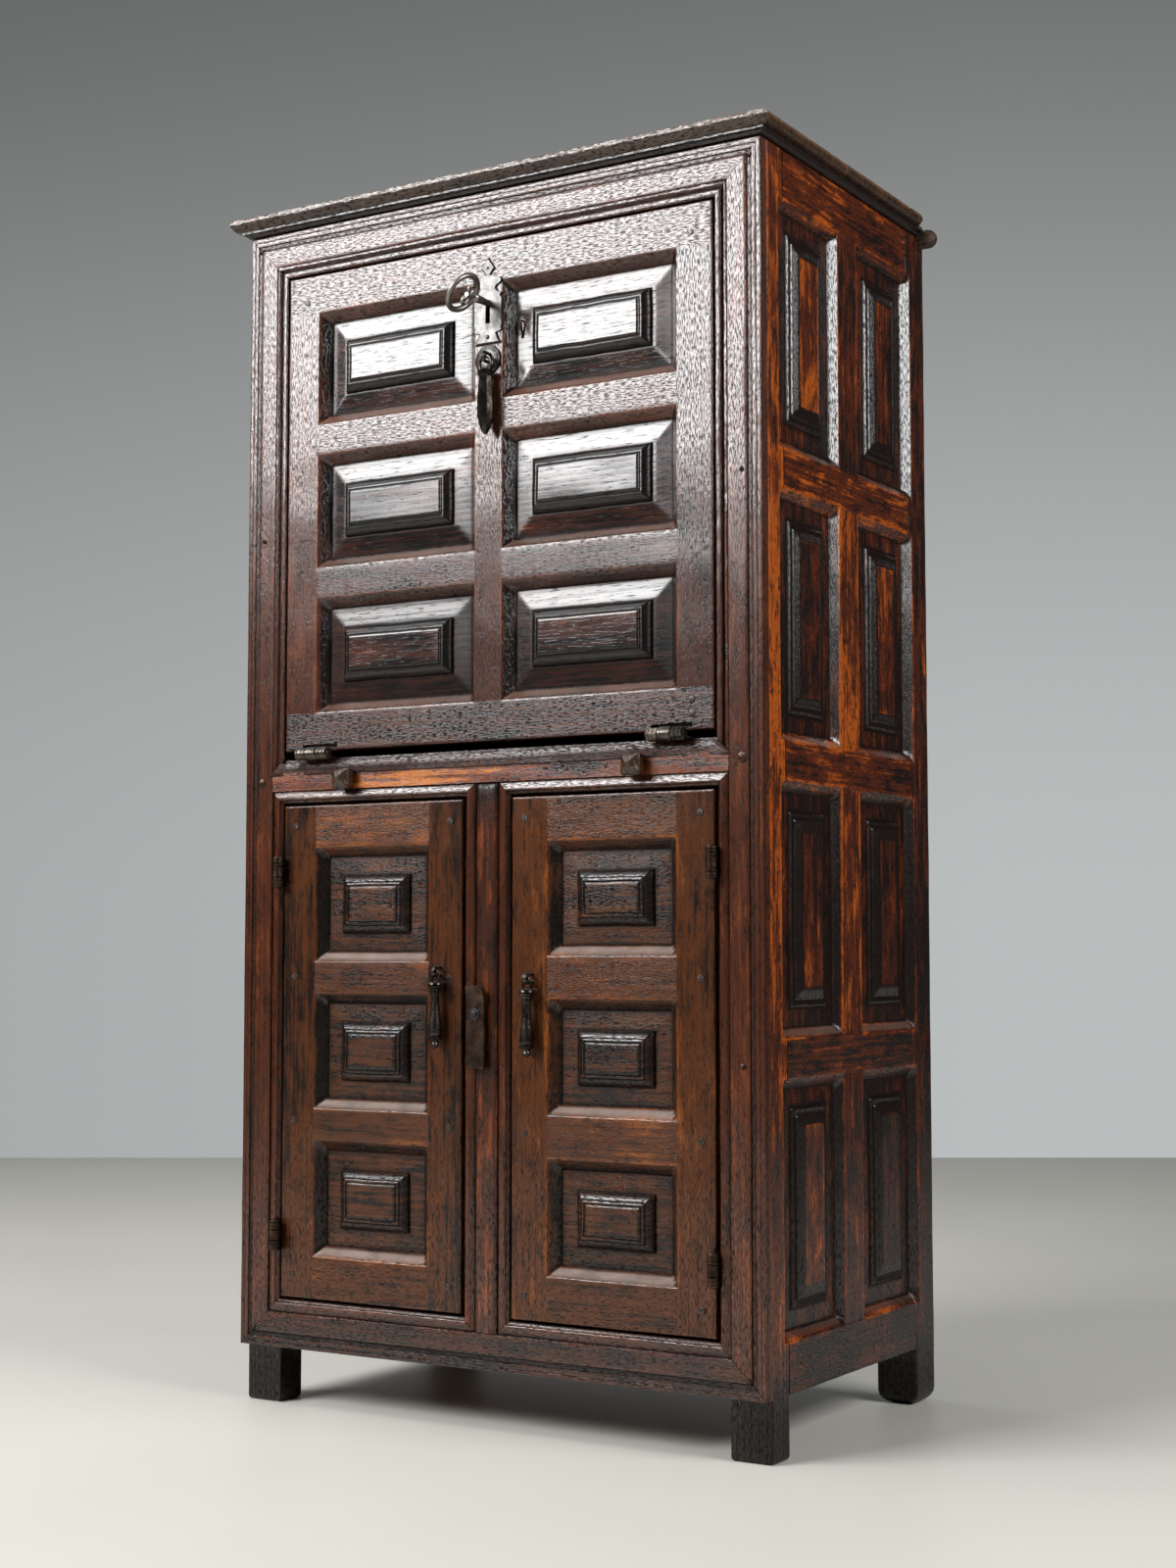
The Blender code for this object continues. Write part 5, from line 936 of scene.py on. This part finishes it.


# Lock plate and key
# The plate is cut from sheet iron and filed: a cusped foot, two lobes and a diamond on top, with a black line painted
# round it as the shadow of its edge, and two rivets. The key is forged: a round bow with two scrolls, collars and a
# bit.
plate_low, plate_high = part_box("escutcheon")
plate_base = plate_low[2]
plate_front = plate_low[1]
plate_outline = [(0, 0.0189), (0.0070, 0.0153), (0.0146, 0.0128), (0.0152, 0.0175), (0.0172, 0.0225), (0.0205, 0.0212),
                 (0.0240, 0.0225), (0.0600, 0.0225), (0.0640, 0.0194), (0.0680, 0.0220), (0.0690, 0.0190),
                 (0.0710, 0.0140), (0.0750, 0.0116), (0.0790, 0.0140), (0.0806, 0.0180), (0.0830, 0.0213),
                 (0.0860, 0.0218), (0.0885, 0.0200), (0.0900, 0.0160), (0.0905, 0.0118), (0.0925, 0.0062),
                 (0.0945, 0.0026), (0.1030, 0.0100), (0.1166, 0.0003)]


def filed_plate(grow, front, back, seed):
    """A flat plate, mirrored left to right: its half width is a function of height, its edge is rounded off, and
    three blocks of columns keep to the sides of the keyhole."""
    rows = grid_lines(-grow, 0.1166 + grow, 0.0012, [point[0] for point in plate_outline])
    wide = np.interp(rows, [point[0] for point in plate_outline], [point[1] for point in plate_outline]) + grow
    key_rise = key_z - plate_base
    slot = (rows > key_rise - 0.0281) & (rows < key_rise + 0.0046)
    head = np.sqrt(np.maximum(0.0047 ** 2 - (rows - key_rise) ** 2, 0))
    hole = np.where(slot, np.where(rows > key_rise - 0.0028, head, 0.00375), 0.003)
    hole = np.clip(hole, 0.0002, 0.5 * wide)
    inset = np.array([0.0014, 0.0009, 0.0005, 0.0002, 0])
    outer = wide[:, None] - inset * np.minimum(1, (wide - hole) / 0.004)[:, None]
    flat = hole[:, None] + (outer[:, :1] - hole[:, None]) * np.linspace(0, 1, 8)[:-1]
    right = np.concatenate([flat, outer], axis=1)
    middle = hole[:, None] * np.linspace(-1, 1, 5)[1:-1]
    a = np.concatenate([-right[:, ::-1], middle, right], axis=1)
    u = np.broadcast_to(rows[:, None], a.shape)
    edge = np.minimum(wide[:, None] - np.abs(a), u + grow)
    count = right.shape[1]
    cells = np.ones((a.shape[0] - 1, a.shape[1] - 1), bool)
    cells[:, count - 1:count + 3] = ~(slot[:-1] & slot[1:])[:, None]
    # Painted shade: the rounded edge of the plate is painted dark, and a grown copy is painted dark all over, as the
    # shadow round the plate's edge.
    return slab(a, plate_base + u, -front - quarter_round(edge, 0.0009), -back, "front", cells=cells,
                dirt=np.clip(1.2 - edge / 0.0010, 0, 1) if grow == 0 else 1.0, seed=seed)


make_piece("iron_lock_plate", [filed_plate(0, plate_front, plate_high[1], 165)], bright_iron, "fall", ["escutcheon"])
# A larger plate behind the lock plate, painted nearly black: painted shadow round its edge.
make_piece("iron_plate_painted_edge_shadow", [filed_plate(0.0014, plate_high[1] - 0.0006, plate_high[1], 166)], rusty_iron, "fall")
rivets = []
for z, size in ((plate_base + 0.0089, 0.0032), (plate_base + 0.1035, 0.0019)):
    dome = [(size * 0.7 * math.sin(t), size * math.cos(t)) for t in np.linspace(0, 1.45, 7)]
    rivets.append(turned((0, plate_front + 0.0003, z), (0, -1, 0), dome, 20))
make_piece("iron_plate_rivets", rivets, black_iron, "fall")
bow_y = face - 0.059
bow_radius = 0.0250
turn = np.linspace(0, 2 * np.pi, 56, endpoint=False)
flat_ring = np.stack([np.zeros(56), np.cos(turn), np.sin(turn)], axis=-1)
key_parts = [bent_wire(flat_ring * bow_radius, 0.0040 + 0.0005 * np.cos(turn), (1, 0, 0), True, seed=171)]
for side in (-1, 1):
    swirl = np.linspace(-0.5 * np.pi, 1.35 * np.pi, 30)
    shrink = np.linspace(0.0078, 0.0040, 30)
    path = np.stack([np.zeros(30), 0.0125 + shrink * np.cos(swirl), side * (0.0078 + shrink * np.sin(swirl))], axis=-1)
    key_parts.append(bent_wire(path, np.linspace(0.0021, 0.0027, 30), (1, 0, 0), seed=172))
stem_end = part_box("key")[1][1] - bow_y
key_stem = [(0.009, 0.0028), (0.016, 0.0036), (0.0225, 0.0042), (0.0240, 0.0062), (0.0258, 0.0070), (0.0274, 0.0062),
            (0.0284, 0.0052), (0.0296, 0.0064), (0.0314, 0.0064), (0.0326, 0.0056), (0.040, 0.0052), (0.052, 0.0045),
            (stem_end - 0.001, 0.0041), (stem_end, 0.0034)]
key_parts.append(turned((0, 0, 0), (0, 1, 0), key_stem, 28, seed=173))
bit_y, bit_z = np.meshgrid(np.linspace(stem_end - 0.013, stem_end - 0.003, 9), np.linspace(-0.019, -0.001, 10))
key_parts.append(slab(bit_y, bit_z, 0.002, -0.002, "right", seed=174))
key_parts = [moved(part, math.radians(38), (0, bow_y, key_z)) for part in key_parts]
make_piece("iron_key", key_parts, handled_iron, "key", ["key"])


# Drop handles
# Each hangs by an eye in a staple: a faceted bullet with ringed collar on the fall, over a rosette, and a turned
# baluster with rings on each door.
def eye(centre, wide, high, power, wire, seed):
    """A ring in the plane of the face: a superellipse, from round to nearly square."""
    x = np.sign(np.cos(turn)) * np.abs(np.cos(turn)) ** power * wide
    z = np.sign(np.sin(turn)) * np.abs(np.sin(turn)) ** power * high
    path = np.stack([centre[0] + x, np.full(56, centre[1]), centre[2] + z], axis=-1)
    return bent_wire(path, wire, (0, 1, 0), True, seed=seed)


def staple(pivot, back, radius, seed):
    """A hairpin round the pivot, upright, whose two legs run back into the wood."""
    bend = np.linspace(np.pi / 2, 1.5 * np.pi, 17)
    path = np.stack([np.full(17, pivot[0]), pivot[1] + radius * np.cos(bend), pivot[2] + radius * np.sin(bend)], axis=-1)
    legs = [(pivot[0], back, pivot[2] + radius)], [(pivot[0], back, pivot[2] - radius)]
    return bent_wire(np.concatenate([legs[0], path, legs[1]]), 0.0024, (1, 0, 0), seed=seed)


fall_pivot = np.array([0, plate_front - 0.0124, fall_high[2] - 0.160])
# Painted shade: its rim, its step and its middle under the staple are painted dark, as the shadow of its edges and of
# the staple.
rosette = turned((0, -fall_front - 0.0002, fall_pivot[2] - 0.0012), (0, -1, 0),
                 [(0, 0.0205), (0.0012, 0.0207), (0.0019, 0.0196), (0.0021, 0.0150), (0.0028, 0.0135), (0.0030, 0.0060),
                  (0.0031, 0.0020)], 72, 12, seed=181, dirt=(1, 0.9, 0.2, 0.7, 0, 0, 0.6))
make_piece("iron_rosette", [rosette, staple(fall_pivot + np.array([0.004, 0, 0]), -fall_front, 0.0058, 182)], bright_iron, "fall",
           ["fall_handle_plate"])
r = 0.0112
collar = [(0, 0.40 * r), (0.0008, 0.80 * r), (0.0024, 0.98 * r), (0.0036, 0.84 * r), (0.0048, r), (0.0062, 0.86 * r),
          (0.0076, 0.97 * r), (0.0090, 0.80 * r), (0.0105, 0.70 * r)]
bullet = [(0.0095, 0.55 * r), (0.0105, 0.80 * r), (0.016, 0.83 * r), (0.024, 0.87 * r), (0.034, 0.93 * r),
          (0.044, 0.98 * r), (0.053, r), (0.060, 0.97 * r), (0.067, 0.90 * r), (0.073, 0.79 * r), (0.078, 0.66 * r),
          (0.082, 0.52 * r), (0.085, 0.36 * r), (0.0872, 0.20 * r), (0.088, 0.06 * r)]
handle_shift = np.array([0.005, 0, 0])
drop_start = fall_pivot + handle_shift - np.array([0, 0, 0.0175])
fall_handle = [eye(fall_pivot + handle_shift - np.array([0, 0, 0.0104]), 0.0095, 0.0104, 0.85, 0.0027, 183),
               turned(drop_start, (0, 0, -1), collar, 40, seed=184),
               turned(drop_start, (0, 0, -1), bullet, 64, 8, seed=185)]
make_piece("iron_fall_handle", fall_handle, black_iron, "fall_handle", ["fall_handle"], crease=24)
r = 0.0108
baluster = [(0, 0.35 * r), (0.0008, 0.70 * r), (0.0022, 0.96 * r), (0.0040, r), (0.0052, 0.80 * r), (0.0064, 0.97 * r),
            (0.0082, 0.95 * r), (0.0098, 0.62 * r), (0.0118, 0.60 * r), (0.0130, 0.80 * r), (0.0148, 0.80 * r),
            (0.0165, 0.52 * r), (0.022, 0.50 * r), (0.030, 0.54 * r), (0.040, 0.63 * r), (0.050, 0.74 * r),
            (0.059, 0.84 * r), (0.066, 0.90 * r), (0.070, 0.86 * r), (0.0725, 0.68 * r), (0.0735, 0.88 * r),
            (0.0765, 0.90 * r), (0.0775, 0.60 * r), (0.0800, 0.42 * r), (0.0825, 0.50 * r), (0.0850, 0.44 * r),
            (0.0872, 0.24 * r), (0.088, 0.06 * r)]
for side, sign, seed in (("left", -1, 191), ("right", 1, 195)):
    low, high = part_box(f"{side}_door_handle")
    pivot = np.array([(low[0] + high[0]) / 2, -door_front - 0.0120, high[2] - 0.0019])
    parts = [eye(pivot - np.array([0, 0, 0.0082]), 0.0060, 0.0082, 0.45, 0.0021, seed),
             turned(pivot - np.array([0, 0, 0.0132]), (0, 0, -1), baluster, 36, seed=seed + 1)]
    make_piece(f"iron_{side}_door_handle", parts, black_iron, f"{side}_door_handle", [f"{side}_door_handle"],
               crease=30)
    make_piece(f"iron_{side}_door_staple", [staple(pivot, -door_front + 0.012, 0.0053, seed + 2)], black_iron,
               f"{side}_door")


# Hinges
# Forged barrel hinges: two outer knuckles with cut rings on the case, a middle one on the fall or door, and
# leaves let into the gap.
def hinge(label, moving, place, angle, radius, length, thickness, reach, gap, facets, seed, iron):
    """Both halves of a hinge, laid out along X with the leaves running back, then turned and put in place."""
    third = length / 3
    end = length / 2
    start = third / 2 + 0.0004
    room = end - start
    knuckle = [(0, 0.90), (0.04, 1), (0.30, 1), (0.34, 0.91), (0.38, 1), (0.62, 0.99), (0.66, 0.90), (0.70, 0.99),
               (0.86, 0.97), (0.94, 0.84), (0.96, 0.55), (1.0, 0.45)]
    middle = [(0, 0.92), (0.05, 1.02), (0.45, 0.98), (0.55, 0.98), (0.95, 1.02), (1, 0.92)]
    case_parts = []
    for sign in (-1, 1):
        profile = [(share * room, size * radius) for share, size in knuckle]
        case_parts.append(turned((sign * start, 0, 0), (sign, 0, 0), profile, 42, facets, seed))
        x, y = np.meshgrid(np.linspace(min(sign * start, sign * end), max(sign * start, sign * end), 5),
                           np.linspace(0, reach, 6))
        case_parts.append(facing_out(slab(x, y, -gap / 2 + thickness, -gap / 2 + 0.0003, "top", seed=seed)))
    half_middle = third / 2 - 0.0004
    profile = [(share * 2 * half_middle, size * radius) for share, size in middle]
    leaf_parts = [turned((-half_middle, 0, 0), (1, 0, 0), profile, 42, 0, seed + 1)]
    x, y = np.meshgrid(np.linspace(-half_middle, half_middle, 5), np.linspace(radius * 0.5, reach, 6))
    leaf_parts.append(facing_out(slab(x, y, gap / 2 - 0.0003, gap / 2 - thickness, "top", seed=seed)))
    bodies = (("case_leaf", case_parts, "case"), (f"{moving}_leaf", leaf_parts, label.split("_")[0] + "_door"
                                                  if moving == "door" else "fall"))
    for leaf, parts, body in bodies:
        node = f"{label}_hinge_{leaf}"
        make_piece("iron_" + node, [moved(part, angle, place) for part in parts], iron, body, [node],
                   crease=30)


for side, sign, facets in (("left", -1, 0), ("right", 1, 7)):
    low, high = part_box(f"{side}_fall_hinge_case_leaf")
    barrel_y = low[1] + 0.009
    barrel_z = high[2] - 0.009
    place = (sign * hinge_x, barrel_y, barrel_z)
    hinge(f"{side}_fall", "fall", place, 0, 0.009, 0.056, 0.0025, 0.0405, 0.0115, facets, 201,
          hinge_iron)
    for level in ("upper", "lower"):
        low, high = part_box(f"{side}_{level}_hinge_case_leaf")
        place = (sign * (abs(low[0]) + abs(high[0])) / 2, low[1] + 0.0075, (low[2] + high[2]) / 2)
        hinge(f"{side}_{level}", "door", place, -sign * math.pi / 2, 0.0075, 0.043, 0.0012, 0.0335, 0.0035, 0, 205,
              rusty_iron)


# Turn button
# A strap of hammered iron on a rose-headed nail in the mullion, its upper end bent forwards to give a grip.
low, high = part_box("turn_button")
nail_low, nail_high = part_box("turn_button_nail")
button_x = (nail_low[0] + nail_high[0]) / 2
button_z = (nail_low[2] + nail_high[2]) / 2
share, rise = np.meshgrid(grid_lines(-1, 1, 0.12, (-0.96, -0.9, 0.9, 0.96)), grid_lines(low[2], high[2], 0.003,
                          (low[2] + 0.0008, high[2] - 0.0008)) - button_z)
half_width = 0.015 * np.interp(rise, (-0.072, -0.052, 0.015, 0.028, 0.037), (0.93, 1.0, 0.97, 0.95, 0.85))
bend = np.interp(rise, (0.012, 0.020, 0.028, 0.037), (0, 0.12, 0.45, 1.0)) * 0.005
edge = np.minimum(half_width * (1 - np.abs(share)), np.minimum(rise + 0.072, 0.037 - rise))
hammered = 0.0003 * ripple(share * 0.015, rise, 0.018, 211)
strap = slab(button_x + share * half_width, button_z + rise, -face + 0.010 + bend - quarter_round(edge, 0.0016) + hammered,
             -face + 0.005 + bend, "front", seed=211)
make_piece("iron_turn_button", [strap], rusty_iron, "turn_button", ["turn_button"])
rose = [(0, 0.0080), (0.0007, 0.0086), (0.0013, 0.0078), (0.0015, 0.0054), (0.0026, 0.0052), (0.0036, 0.0040),
        (0.0041, 0.0016)]
nail = [turned((button_x, -0.0102 + face, button_z), (0, -1, 0), rose, 36, 6, seed=212),
        turned((button_x, -0.0102 + face, button_z), (0, 1, 0), [(0, 0.0027), (0.0290, 0.0027), (0.0302, 0.0010)], 16)]
make_piece("iron_turn_button_nail", nail, bright_iron, "case", ["turn_button_nail"], crease=24)


# Lopers
# Two square oak bars with pyramid heads, cut from one piece, dark with grease and bright on the worn facets.
loper_oak = old_oak("greased_loper_oak", "#1c120d", "#3a2618", "#5c3c28", 0.44, 0.12, 0.14)
corner = np.linspace(0, 2 * np.pi, 40, endpoint=False) + np.pi / 40
square = np.stack([np.sign(np.cos(corner)) * np.abs(np.cos(corner)) ** 0.22,
                   np.sign(np.sin(corner)) * np.abs(np.sin(corner)) ** 0.22], axis=-1)
stations = np.array([(face + y, size) for y, size in ((0.400, 0.0090), (0.3990, 0.0104), (0.30, 0.0106), (0.15, 0.0106),
                                                      (0.0, 0.0106), (-0.0049, 0.0106), (-0.0050, 0.0132),
                                                      (-0.0056, 0.0140), (-0.0158, 0.0140), (-0.0168, 0.0135),
                                                      (-0.0210, 0.0080), (-0.0248, 0.0028), (-0.0259, 0.0012))])
for side, sign in (("left", -1), ("right", 1)):
    rings = np.empty((len(stations), 40, 3))
    rings[..., 0] = sign * loper_x + stations[:, 1:] * square[:, 0]
    rings[..., 1] = stations[:, :1]
    rings[..., 2] = loper_z + stations[:, 1:] * square[:, 1]
    make_piece(f"oak_{side}_loper", [facing_out(carried(rings, seed=221))], loper_oak, f"{side}_loper",
               [f"{side}_loper"], crease=28)


# Pegs and nails
# Whittled oak pegs draw the tenons of the fall and the doors tight, and forged nails hold the face frame.
peg_oak = old_oak("end_grain_oak", "#120b08", "#2f1a10", "#4d2c18", 0.45, 0.10, 0.26)


def peg(x, y, z, size, seed):
    """A seven-sided peg that stands a hair proud."""
    return turned((x, y + 0.0012, z), (0, -1, 0), [(0, size), (0.0016, size), (0.0019, 0.9 * size), (0.0021, 0.4 * size)],
                  28, 7, seed=seed)


fall_pegs = []
for x in (-0.309, 0.309):
    for z in (fall_low[2] + 0.020, fall_low[2] + 0.038, fall_high[2] - 0.037):
        fall_pegs.append(peg(x, -fall_front, z, 0.0046, 231))
make_piece("oak_fall_pegs", fall_pegs, peg_oak, "fall", crease=24)
for side, sign in (("left", -1), ("right", 1)):
    door_low, door_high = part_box(f"{side}_door_frame")
    cuts = sorted({round(float(z), 4) for number in range(1, 4) for z in
                   (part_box(f"{side}_door_panel_{number}")[0][2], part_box(f"{side}_door_panel_{number}")[1][2])})
    rails = [(door_low[2] + cuts[0]) / 2, (cuts[1] + cuts[2]) / 2, (cuts[3] + cuts[4]) / 2, (cuts[5] + door_high[2]) / 2]
    parts = []
    for x in (door_low[0] + 0.020, door_high[0] - 0.020):
        for number, z in enumerate(rails):
            parts.append(peg(x, -door_front, z + 0.004 * (number % 2), 0.0050, 233 + number))
    make_piece(f"oak_{side}_door_pegs", parts, peg_oak, f"{side}_door", crease=24)
frame_nails = []
for x, z, size in ((-0.381, loper_z, 0.0062), (0.381, loper_z + 0.004, 0.0070), (-0.392, frame_top - 0.020, 0.0046),
                   (0.392, frame_top - 0.020, 0.0046), (0.386, frame_low + 0.024, 0.0042), (0.380, 0.48, 0.0042),
                   (-0.386, frame_low + 0.024, 0.0042), (0.382, 1.22, 0.0036), (-0.381, 1.20, 0.0036)):
    head = [(0, size), (0.0012, size), (0.0022, 0.86 * size), (0.0026, 0.60 * size), (0.0040, 0.40 * size),
            (0.0044, 0.14 * size)]
    frame_nails.append(turned((x, face + 0.0010, z), (0, -1, 0), head, 24, 6, seed=241))
for x, y, z in nails:
    head = [(0, 0.0044), (0.0006, 0.0044), (0.0014, 0.0034), (0.0018, 0.0012)]
    frame_nails.append(turned((x, y, z), (0, 1, 0), head, 16, 5, seed=243))
make_piece("iron_frame_nails", frame_nails, rusty_iron, "case", crease=24)
hook_x = 0.045
panel_face = -(fall_front - fall_chamfer_depth)
hook = [(hook_x, panel_face + 0.004, 1.4605), (hook_x, panel_face - 0.004, 1.4605), (hook_x, panel_face - 0.0052, 1.4590),
        (hook_x, panel_face - 0.0050, 1.4550), (hook_x, panel_face - 0.0035, 1.4470), (hook_x, panel_face - 0.0022, 1.4400),
        (hook_x, panel_face - 0.0030, 1.4375)]
make_piece("iron_hook", [bent_wire(hook, 0.0015, (1, 0, 0), seed=251)], black_iron, "fall")


# Studio
# A pale floor, a grey wall behind that glows with a painted falloff of light, darker upwards and to the left, and soft
# lamps.

def plain_sheet(name, corners):
    """A flat four-cornered sheet."""
    mesh = bpy.data.meshes.new(name)
    mesh.from_pydata(corners, [], [(0, 1, 2, 3)])
    sheet = bpy.data.objects.new(name, mesh)
    bpy.context.scene.collection.objects.link(sheet)
    return sheet


camera_place = (1.700, -2.726, 0.621)
camera_turn = (math.radians(94.156), 0, math.radians(31.557))
heading = (-math.sin(camera_turn[2]), math.cos(camera_turn[2]))
beside = (heading[1], -heading[0])
floor_end = 7.0
wall_distance = 14.0


def ground_place(ahead, right, z):
    """A place counted from below the camera: ahead, to the right, and up."""
    return (camera_place[0] + ahead * heading[0] + right * beside[0],
            camera_place[1] + ahead * heading[1] + right * beside[1], z)


floor = plain_sheet("floor", [ground_place(-5, -8, 0), ground_place(-5, 8, 0), ground_place(floor_end, 8, 0),
                              ground_place(floor_end, -8, 0)])
wall = plain_sheet("wall", [ground_place(wall_distance, -7.4, -5), ground_place(wall_distance, 7.4, -5),
                            ground_place(wall_distance, 7.4, 13), ground_place(wall_distance, -7.4, 13)])
paint = bpy.data.materials.new("pale_screed")
paint.use_nodes = True
paint.node_tree.nodes.clear()
spot = add_node(paint, "TexCoord").outputs["Object"]
stain = add_node(paint, "TexNoise", {"Vector": spot, "Scale": 1.5, "Detail": 4})
shade = add_node(paint, "Mix", {"Factor": stain.outputs[0], "A": linear("#b9b7af"), "B": linear("#c5c3bb")},
                 data_type="RGBA")
matt = add_node(paint, "BsdfPrincipled", {"Base Color": shade.outputs["Result"], "Roughness": 0.45})
add_node(paint, "OutputMaterial", {"Surface": matt.outputs[0]})
floor.data.materials.append(paint)
grey = bpy.data.materials.new("glowing_wall_painted_falloff")
grey.use_nodes = True
grey.node_tree.nodes.clear()
spot = add_node(grey, "TexCoord").outputs["Object"]
level = add_node(grey, "SeparateXYZ", {"Vector": spot})
# Painted light falloff: the wall glows darker upwards and to the left.
painted_height_falloff = add_node(grey, "MapRange", {"Value": level.outputs["Z"], "From Min": 0.78, "From Max": 7.78},
                 interpolation_type="SMOOTHSTEP")
tint = add_node(grey, "Mix", {"Factor": painted_height_falloff.outputs[0], "A": linear("#b8bbbb"), "B": linear("#6a6b6b")},
                data_type="RGBA")
sideways = add_node(grey, "VectorMath", {0: spot, 1: (*beside, 0)}, operation="DOT_PRODUCT")
wall_side = camera_place[0] * beside[0] + camera_place[1] * beside[1]
painted_side_falloff = add_node(grey, "MapRange", {"Value": sideways.outputs["Value"], "From Min": wall_side - 4.4,
                                   "From Max": wall_side + 2.4, "To Min": 0.80, "To Max": 1.02})
glow = add_node(grey, "Emission", {"Color": tint.outputs["Result"], "Strength": painted_side_falloff.outputs[0]})
add_node(grey, "OutputMaterial", {"Surface": glow.outputs[0]})
wall.data.materials.append(grey)

world = bpy.data.worlds.new("studio")
bpy.context.scene.world = world
world.use_nodes = True
world.node_tree.nodes["Background"].inputs["Color"].default_value = linear("#c9ccce")
world.node_tree.nodes["Background"].inputs["Strength"].default_value = 0.06


def soft_lamp(name, place, target, width, height, power):
    """A rectangular soft lamp at a place, aimed at a target."""
    lamp = bpy.data.lights.new(name, "AREA")
    lamp.shape = "RECTANGLE"
    lamp.size = width
    lamp.size_y = height
    lamp.energy = power
    light = bpy.data.objects.new(name, lamp)
    aim = np.array(target) - np.array(place)
    side = math.atan2(aim[0], -aim[1])
    drop = math.atan2(math.hypot(aim[0], aim[1]), -aim[2])
    light.location = place
    light.rotation_euler = (drop, 0, side + math.pi)
    bpy.context.scene.collection.objects.link(light)
    return light


soft_lamp("front_softbox", (-1.90, -3.22, 2.97), (0, 0, 1.3), 2.5, 2.0, 300)
soft_lamp("side_softbox", (3.2, -0.4, 2.30), (0.4, 0, 1.3), 1.9, 1.1, 120)
soft_lamp("overhead_softbox", (-1.8, -0.2, 4.2), (0, 0, 0), 3.0, 3.0, 80)

camera_data = bpy.data.cameras.new("camera")
camera_data.sensor_fit = "VERTICAL"
camera_data.sensor_height = 36
camera_data.lens = 52.82
camera = bpy.data.objects.new("camera", camera_data)
camera.location = camera_place
camera.rotation_euler = camera_turn
bpy.context.scene.collection.objects.link(camera)
bpy.context.scene.camera = camera
bpy.context.scene.view_settings.view_transform = "Standard"
